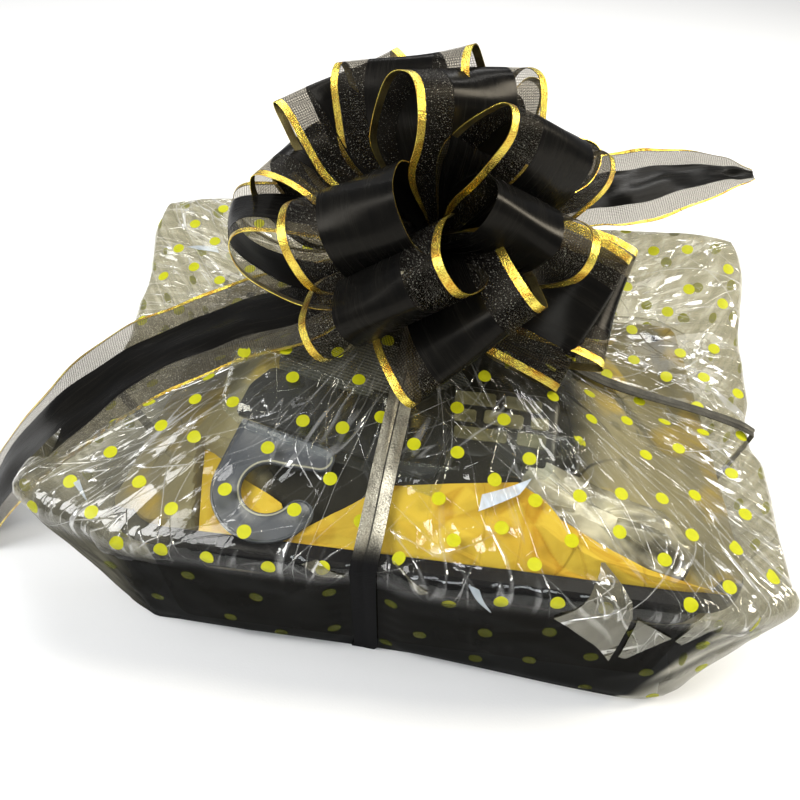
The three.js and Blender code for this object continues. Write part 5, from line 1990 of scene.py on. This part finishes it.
@dataclass
class FilmWrap:
    """Clear dotted film: the smooth form with folds, crumples and printed dots."""

    form: FilmForm
    marks: FilmMarks = FilmMarks()
    around: int = 720
    side_rows: int = 34
    top_rows: int = 78
    inward_power: float = 0.92
    girth: float = 1060.0
    side_length: float = 95.0
    top_length: float = 200.0
    folds: tuple[CrumpleField, ...] = (
        CrumpleField(7, 34.0, 4.2, 3.0), CrumpleField(11, 22.0, 1.8), CrumpleField(13, 9.0, 0.35, 1.3),
    )
    foot_calm: float = 14.0
    off_form: float = 0.3
    quiet_near_tie: Pair = (7.0, 20.0)
    press_gap: float = 0.9
    pleat_lift: float = 0.6
    pleat_thickness: float = 0.25
    pleat_steps: int = 12
    dot_seed: int = 23
    dot_radius: float = 3.0
    dot_spacing: float = 17.5
    dot_thinning: float = 0.4
    dot_limit: int = 900
    dot_sides: int = 20
    dot_lift: float = 0.14
    dot_rows: tuple[int, int] = (4, 14)

    def levels(self) -> tuple[Array, Array]:
        """How far up the side and how far in on the top each ring lies, from 0 to 1."""
        inward = np.linspace(0, 1, self.top_rows + 1)[1:] ** self.inward_power
        return np.linspace(0, 1, self.side_rows), inward

    def flat_rows(self) -> Array:
        """Way of each ring from the foot over the flat sheet."""
        up, inward = self.levels()
        return np.concatenate([up * self.side_length, self.side_length + inward * self.top_length])

    def grid(self, tie: Tie, below: list[BVHTree], above: list[BVHTree]) -> Array:
        """Points of the film.

        Args:
            tie: The ribbon that holds the film down.
            below: Pieces in the film that it stays over.
            above: Pieces on the film that press it down.

        Returns:
            Points, one row for each ring from the foot to the neck.
        """
        stops = len(FILM_STOPS)
        position = np.arange(self.around) * stops / self.around
        up, inward = self.levels()
        side = [self.form.side(position, np.full(self.around, level)) for level in up]
        top = [self.form.top(position, np.full(self.around, level)) for level in inward]
        points = np.array(side + top)
        low, high = self.side_rows - 3, self.side_rows + 2
        for _ in range(3):
            before, after = points[low - 1 : high - 1], points[low + 1 : high + 1]
            points[low:high] = (before + 2 * points[low:high] + after) / 4
        columns = position / stops * self.girth
        rows = self.flat_rows()
        relief = sum(crumple.over(columns, rows, wrap=True) for crumple in self.folds)
        perimeter = np.linalg.norm(np.roll(points, -1, axis=1) - points, axis=2).sum(axis=1)
        share = np.clip(perimeter / self.girth, 0.2, 1.0)[:, None]
        foot = smooth_step(rows, 0, self.foot_calm)[:, None]
        near = np.full(points.shape[:2], FAR_ABOVE)
        for leg in Leg:
            for place in tie.run(leg)[0][::2]:
                near = np.minimum(near, np.linalg.norm(points - place, axis=2))
        relief = relief * share * foot * smooth_step(near, *self.quiet_near_tie)
        points = points + grid_normals(points, wrap=True) * (self.off_form + relief)[..., None]
        return self._keep_between(points, below, above)

    def _keep_between(self, points: Array, below: list[BVHTree], above: list[BVHTree]) -> Array:
        """Lift the top over what is in the film and press it under what lies on it.

        Args:
            points: Grid of the film.
            below: Pieces in the film.
            above: Pieces on the film.

        Returns:
            The grid, moved up and down.
        """
        for point in points[self.side_rows :].reshape(-1, 3):
            x, y, z = point
            for tree in below:
                height = surface(tree, x, y)
                if height is not None:
                    z = max(z, height + self.press_gap)
            for tree in above:
                height = surface(tree, x, y, from_below=True)
                if height is not None:
                    z = min(z, height - self.press_gap)
            point[2] = z
        return points

    def skin(self, points: Array) -> Skin:
        """One sheet from the foot to the neck, with its seam at the left front corner."""
        skin = Skin()
        closed = np.concatenate([points, points[:, :1]], axis=1)
        flat = together(np.linspace(0, self.girth, self.around + 1), self.flat_rows()[:, None])
        skin.add(closed, grid_faces(len(points), self.around + 1), 0, flat, self.marks.over(closed))
        return skin

    def front_place(self, points: Array, x: float, z: float) -> Pair:
        """Row and column of the grid at a place on the front of the film."""
        columns = np.arange(self.around // len(FILM_STOPS), 6 * self.around // len(FILM_STOPS))
        column = np.interp(x, points[self.side_rows - 1, columns, 0], columns)
        return np.interp(z, points[:, round(column), 2], np.arange(len(points))), column

    def top_place(self, points: Array, x: float, y: float) -> Pair:
        """Row and column of the grid's nearest point to a place on the top of the film."""
        away = np.hypot(*(points[self.side_rows :, :, axis] - value for axis, value in enumerate((x, y))))
        row, column = np.unravel_index(away.argmin(), away.shape)
        return float(row + self.side_rows), float(column)

    def pleats_skin(self, points: Array) -> Skin:
        """Folds that are laid flat over the film, as thin closed facets.

        Args:
            points: Grid of the film.

        Returns:
            Their skin, with the painted glint finish on the bright ones.
        """
        skin = Skin()
        normals = grid_normals(points, wrap=True)
        count = self.pleat_steps
        share = np.linspace(0, 1, count)[:, None]
        for pleat in FILM_PLEATS:
            place = self.top_place if pleat.on_top else self.front_place
            first, second, third, fourth = np.array([place(points, *corner) for corner in pleat.corners])
            low = (first + (second - first) * share)[:, None, :]
            high = (fourth + (third - fourth) * share)[:, None, :]
            rows, columns = (low + (high - low) * share).reshape(-1, 2).T
            middle = self._read(points, rows, columns) + self._read(normals, rows, columns) * self.pleat_lift
            middle = middle.reshape(count, count, 3)
            half = grid_normals(middle) * (self.pleat_thickness / 2)
            flat = together(columns * self.girth / self.around, rows * self.side_length / self.side_rows)
            marks = {Mark.GATHER: np.full(2 * count * count, pleat.density)}
            skin.add_slab(middle, half, flat, int(pleat.bright), int(pleat.bright), marks)
        return skin

    def dot_centres(self, points: Array) -> list[tuple[int, int]]:
        """Row and column of each printed dot, spread evenly by a seeded draw.

        Args:
            points: Grid of the film.

        Returns:
            The rows and columns, wider apart where the film is shaded.
        """
        random = np.random.default_rng(self.dot_seed)
        shade = self.marks.over(points)[Mark.SHADE].ravel()
        first, last = self.dot_rows
        flat = points.reshape(-1, 3)
        chosen = np.zeros((0, 3))
        found = []
        for index in random.permutation(len(flat)):
            row, column = divmod(int(index), self.around)
            if row < first or row > len(points) - last or len(found) >= self.dot_limit:
                continue
            room = self.dot_spacing * (1 + self.dot_thinning * shade[index])
            if len(chosen) and np.linalg.norm(chosen - flat[index], axis=1).min() < room:
                continue
            chosen = np.vstack([chosen, flat[index]])
            found.append((row, column))
        return found

    def disc_faces(self) -> Array:
        """Faces of one dot: two discs of a middle and two rings, and the rim between them."""
        side = 1 + np.arange(self.dot_sides)
        onward = np.roll(side, -1)
        outer, outer_onward = side + self.dot_sides, onward + self.dot_sides
        total = 1 + 2 * self.dot_sides
        fan = together(0, side, onward)
        near = together(side, outer, outer_onward)
        far = together(side, outer_onward, onward)
        disc = np.concatenate([fan, near, far])
        rim_near = together(outer, outer + total, outer_onward + total)
        rim_far = together(outer, outer_onward + total, outer_onward)
        return np.concatenate([disc, disc[:, ::-1] + total, rim_near, rim_far])

    def dots_skin(self, points: Array) -> Skin:
        """Thin discs that follow the film.

        Args:
            points: Grid of the film.

        Returns:
            Their skin, marked like the film under them.
        """
        skin = Skin()
        normals = grid_normals(points, wrap=True)
        marks = {mark: values[..., None] for mark, values in self.marks.over(points).items()}
        angle = full_turn(self.dot_sides)
        faces = self.disc_faces()
        for row, column in self.dot_centres(points):
            step_x = (points[row, (column + 1) % self.around] - points[row, column - 1]) / 2
            step_y = (points[row + 1, column] - points[row - 1, column]) / 2
            first = unit(step_x)
            second = unit(np.cross(normals[row, column], first))
            ring = self.dot_radius * (np.outer(np.cos(angle), first) + np.outer(np.sin(angle), second))
            places = np.concatenate([np.zeros((1, 3)), ring * 0.55, ring])
            steps = np.linalg.lstsq(np.stack([step_x, step_y], axis=1), places.T, rcond=None)[0]
            at_row = np.clip(row + steps[1], 0, len(points) - 1.001)
            at_column = (column + steps[0]) % self.around
            on_side = row < self.side_rows
            lift = self._read(normals, at_row, at_column) * self.dot_lift
            middle = self._read(points, at_row, at_column)
            read = {mark: self._read(values, at_row, at_column) for mark, values in marks.items()}
            here = {mark: np.tile(values[:, 0], 2) for mark, values in read.items()}
            here[Mark.GATHER] = here[Mark.GATHER] * on_side
            under = middle + lift * (-1.0 if on_side else 0.3)
            skin.add(np.stack([middle + lift, under]), faces, marks=here)
        return skin

    def _read(self, values: Array, rows: Array, columns: Array) -> Array:
        """Values of the grid between its points.

        Args:
            values: Values of the grid's points.
            rows: Row of each place, whole or between.
            columns: Column of each place.

        Returns:
            One value for each place.
        """
        low = np.floor(rows).astype(int)
        left = np.floor(columns).astype(int) % self.around
        right = (left + 1) % self.around
        up = (rows - low)[:, None]
        along = (columns - np.floor(columns))[:, None]
        lower = values[low, left] * (1 - along) + values[low, right] * along
        upper = values[low + 1, left] * (1 - along) + values[low + 1, right] * along
        return lower * (1 - up) + upper * up

    def build(self, tie: Tie, below: list[BVHTree], above: list[BVHTree]) -> BVHTree:
        """Make the film, its dots and its laid folds.

        Args:
            tie: The ribbon that holds the film down.
            below: Pieces in the film.
            above: Pieces on the film.

        Returns:
            Search tree over the film.
        """
        points = self.grid(tie, below, above)
        skin = self.skin(points)
        clear = FILM.material()
        pieces = [
            skin.make("film_sheet", [clear], 70),
            self.dots_skin(points).make("film_dots", [DOT_INK.material()], 70),
            self.pleats_skin(points).make("film_pleats", [clear, PAINTED_GLINT_FOLD.material()], 70),
        ]
        for piece in pieces:
            settle(piece, Slot.FILM, "film_wrap")
        return skin.tree()


@dataclass
class Camera:
    """Camera at the photo's viewing angle, for a square picture."""

    place: Place = (3.83, -331.68, 327.89)
    yaw: float = -4.1
    pitch: float = 37.31
    roll: float = 4.05
    focal_pixels: float = 821.11
    picture_pixels: float = 800.0
    sensor: float = 36.0

    def build(self) -> None:
        """Make the camera and give it to the scene."""
        yaw, pitch, roll = (math.radians(angle) for angle in (self.yaw, self.pitch, self.roll))
        ahead = Vector((math.sin(yaw) * math.cos(pitch), math.cos(yaw) * math.cos(pitch), -math.sin(pitch)))
        right = Vector((math.cos(yaw), -math.sin(yaw), 0))
        up = right.cross(ahead)
        turned_right = right * math.cos(roll) + up * math.sin(roll)
        turned_up = up * math.cos(roll) - right * math.sin(roll)
        data = bpy.data.cameras.new("camera")
        data.sensor_width = self.sensor
        data.sensor_fit = "HORIZONTAL"
        data.lens = self.focal_pixels / self.picture_pixels * self.sensor
        data.clip_start = 0.01
        camera = link("camera", data)
        turn = Matrix((turned_right, turned_up, -ahead)).transposed().to_4x4()
        camera.matrix_world = Matrix.Translation(Vector(self.place) * MM) @ turn
        bpy.context.scene.camera = camera


@dataclass(frozen=True)
class SoftBox:
    """Studio light: where it hangs in metres, how large it is and how bright."""

    name: str
    place: Place
    size: Pair
    power: float
    colour: Colour = (1.0, 1.0, 1.0)

    def build(self, target: Vector) -> None:
        """Hang the light so that it shines at a target."""
        data = bpy.data.lights.new(self.name, "AREA")
        data.shape = "RECTANGLE"
        data.size, data.size_y = self.size
        data.energy = self.power
        data.color = self.colour
        lamp = link(self.name, data)
        lamp.location = self.place
        lamp.rotation_euler = (target - Vector(self.place)).to_track_quat("-Z", "Y").to_euler()


@dataclass
class Studio:
    """Pale floor, soft light from above and a few narrow lights for the film's streaks."""

    target: Place = (0.0, 0.0, 0.08)
    sky: Colour = (0.93, 0.95, 1.0)
    sky_strength: float = 0.27
    floor_size: float = 12.0
    see_through_bounces: int = 48
    bounces: int = 10
    lights: tuple[SoftBox, ...] = (
        SoftBox("key_box", (-0.85, -0.6, 1.2), (0.8, 0.8), 20.0),
        SoftBox("back_strip", (-0.25, 1.1, 1.15), (1.3, 0.1), 6.0),
        SoftBox("top_strip", (0.4, 0.4, 1.3), (0.07, 1.0), 4.0),
        SoftBox("right_box", (1.2, 0.1, 0.9), (0.3, 0.5), 17.0, (1.0, 0.93, 0.8)),
        SoftBox("front_window", (0.15, -1.2, 1.0), (0.5, 0.3), 4.0, (0.9, 0.95, 1.0)),
        SoftBox("rear_fill", (0.0, 1.9, 3.2), (2.2, 2.2), 45.0),
    )

    def build(self) -> None:
        """Make the floor, the sky and the lights."""
        scene = bpy.context.scene
        world = bpy.data.worlds.new("studio_sky")
        world.use_nodes = True
        sky = world.node_tree.nodes["Background"]
        sky.inputs["Color"].default_value = (*self.sky, 1.0)
        sky.inputs["Strength"].default_value = self.sky_strength
        scene.world = world
        half = self.floor_size / 2 / MM
        corners = np.array([(-half, -half, 0), (half, -half, 0), (half, half, 0), (-half, half, 0)])
        floor = Skin()
        floor.add(corners, np.array([[0, 1, 2, 3]]))
        floor.make("studio_floor", [FLOOR_WHITE.material()])
        for light in self.lights:
            light.build(Vector(self.target))
        scene.view_settings.view_transform = "Standard"
        scene.cycles.transparent_max_bounces = self.see_through_bounces
        scene.cycles.max_bounces = self.bounces


def main() -> None:
    """Build the basket in order and report each piece."""
    logging.basicConfig(level=logging.INFO, format="%(name)s %(message)s")
    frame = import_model()
    Camera().build()
    Studio().build()

    tray = Tray()
    tray.dress(frame["nodes"]["tray"])
    form = FilmForm(tray)
    slope = Slope()
    inside = Filling(tray, form, slope).build() + Hanger(slope).build()
    sleeve = SLEEVE.material()
    inside += [plate.build(slope, sleeve) for plate in CLEAR_PLATES]
    inside += Goods(slope).build()

    ribbon = BowRibbon()
    bow_finishes = ribbon.materials()
    loops = Bow(ribbon, bow_finishes).build()
    curled = BowRibbon(gold_edge=0.47)
    left = Tail("tail_left_ribbon", "tail_left", TAIL_LEFT_STOPS, (0.07, 0.275), ("film_wrap",), curled, 3)
    right = Tail(
        "tail_right_ribbon", "tail_right", TAIL_RIGHT_STOPS, (0.07, 0.165), ("bow",), curled, 5, 0.0106
    )
    tail_finishes = list(bow_finishes)
    tail_finishes[Finish.SHEER.value] = TAIL_SHEER.material()
    laid_tail = left.build(tail_finishes)
    right.build(tail_finishes)

    tie = Tie(form)
    below = [skin.tree() for skin in inside]
    tie.build(FilmWrap(form).build(tie, below, [loops.tree(), laid_tail.tree()]))


if __name__ == "__main__":
    main()
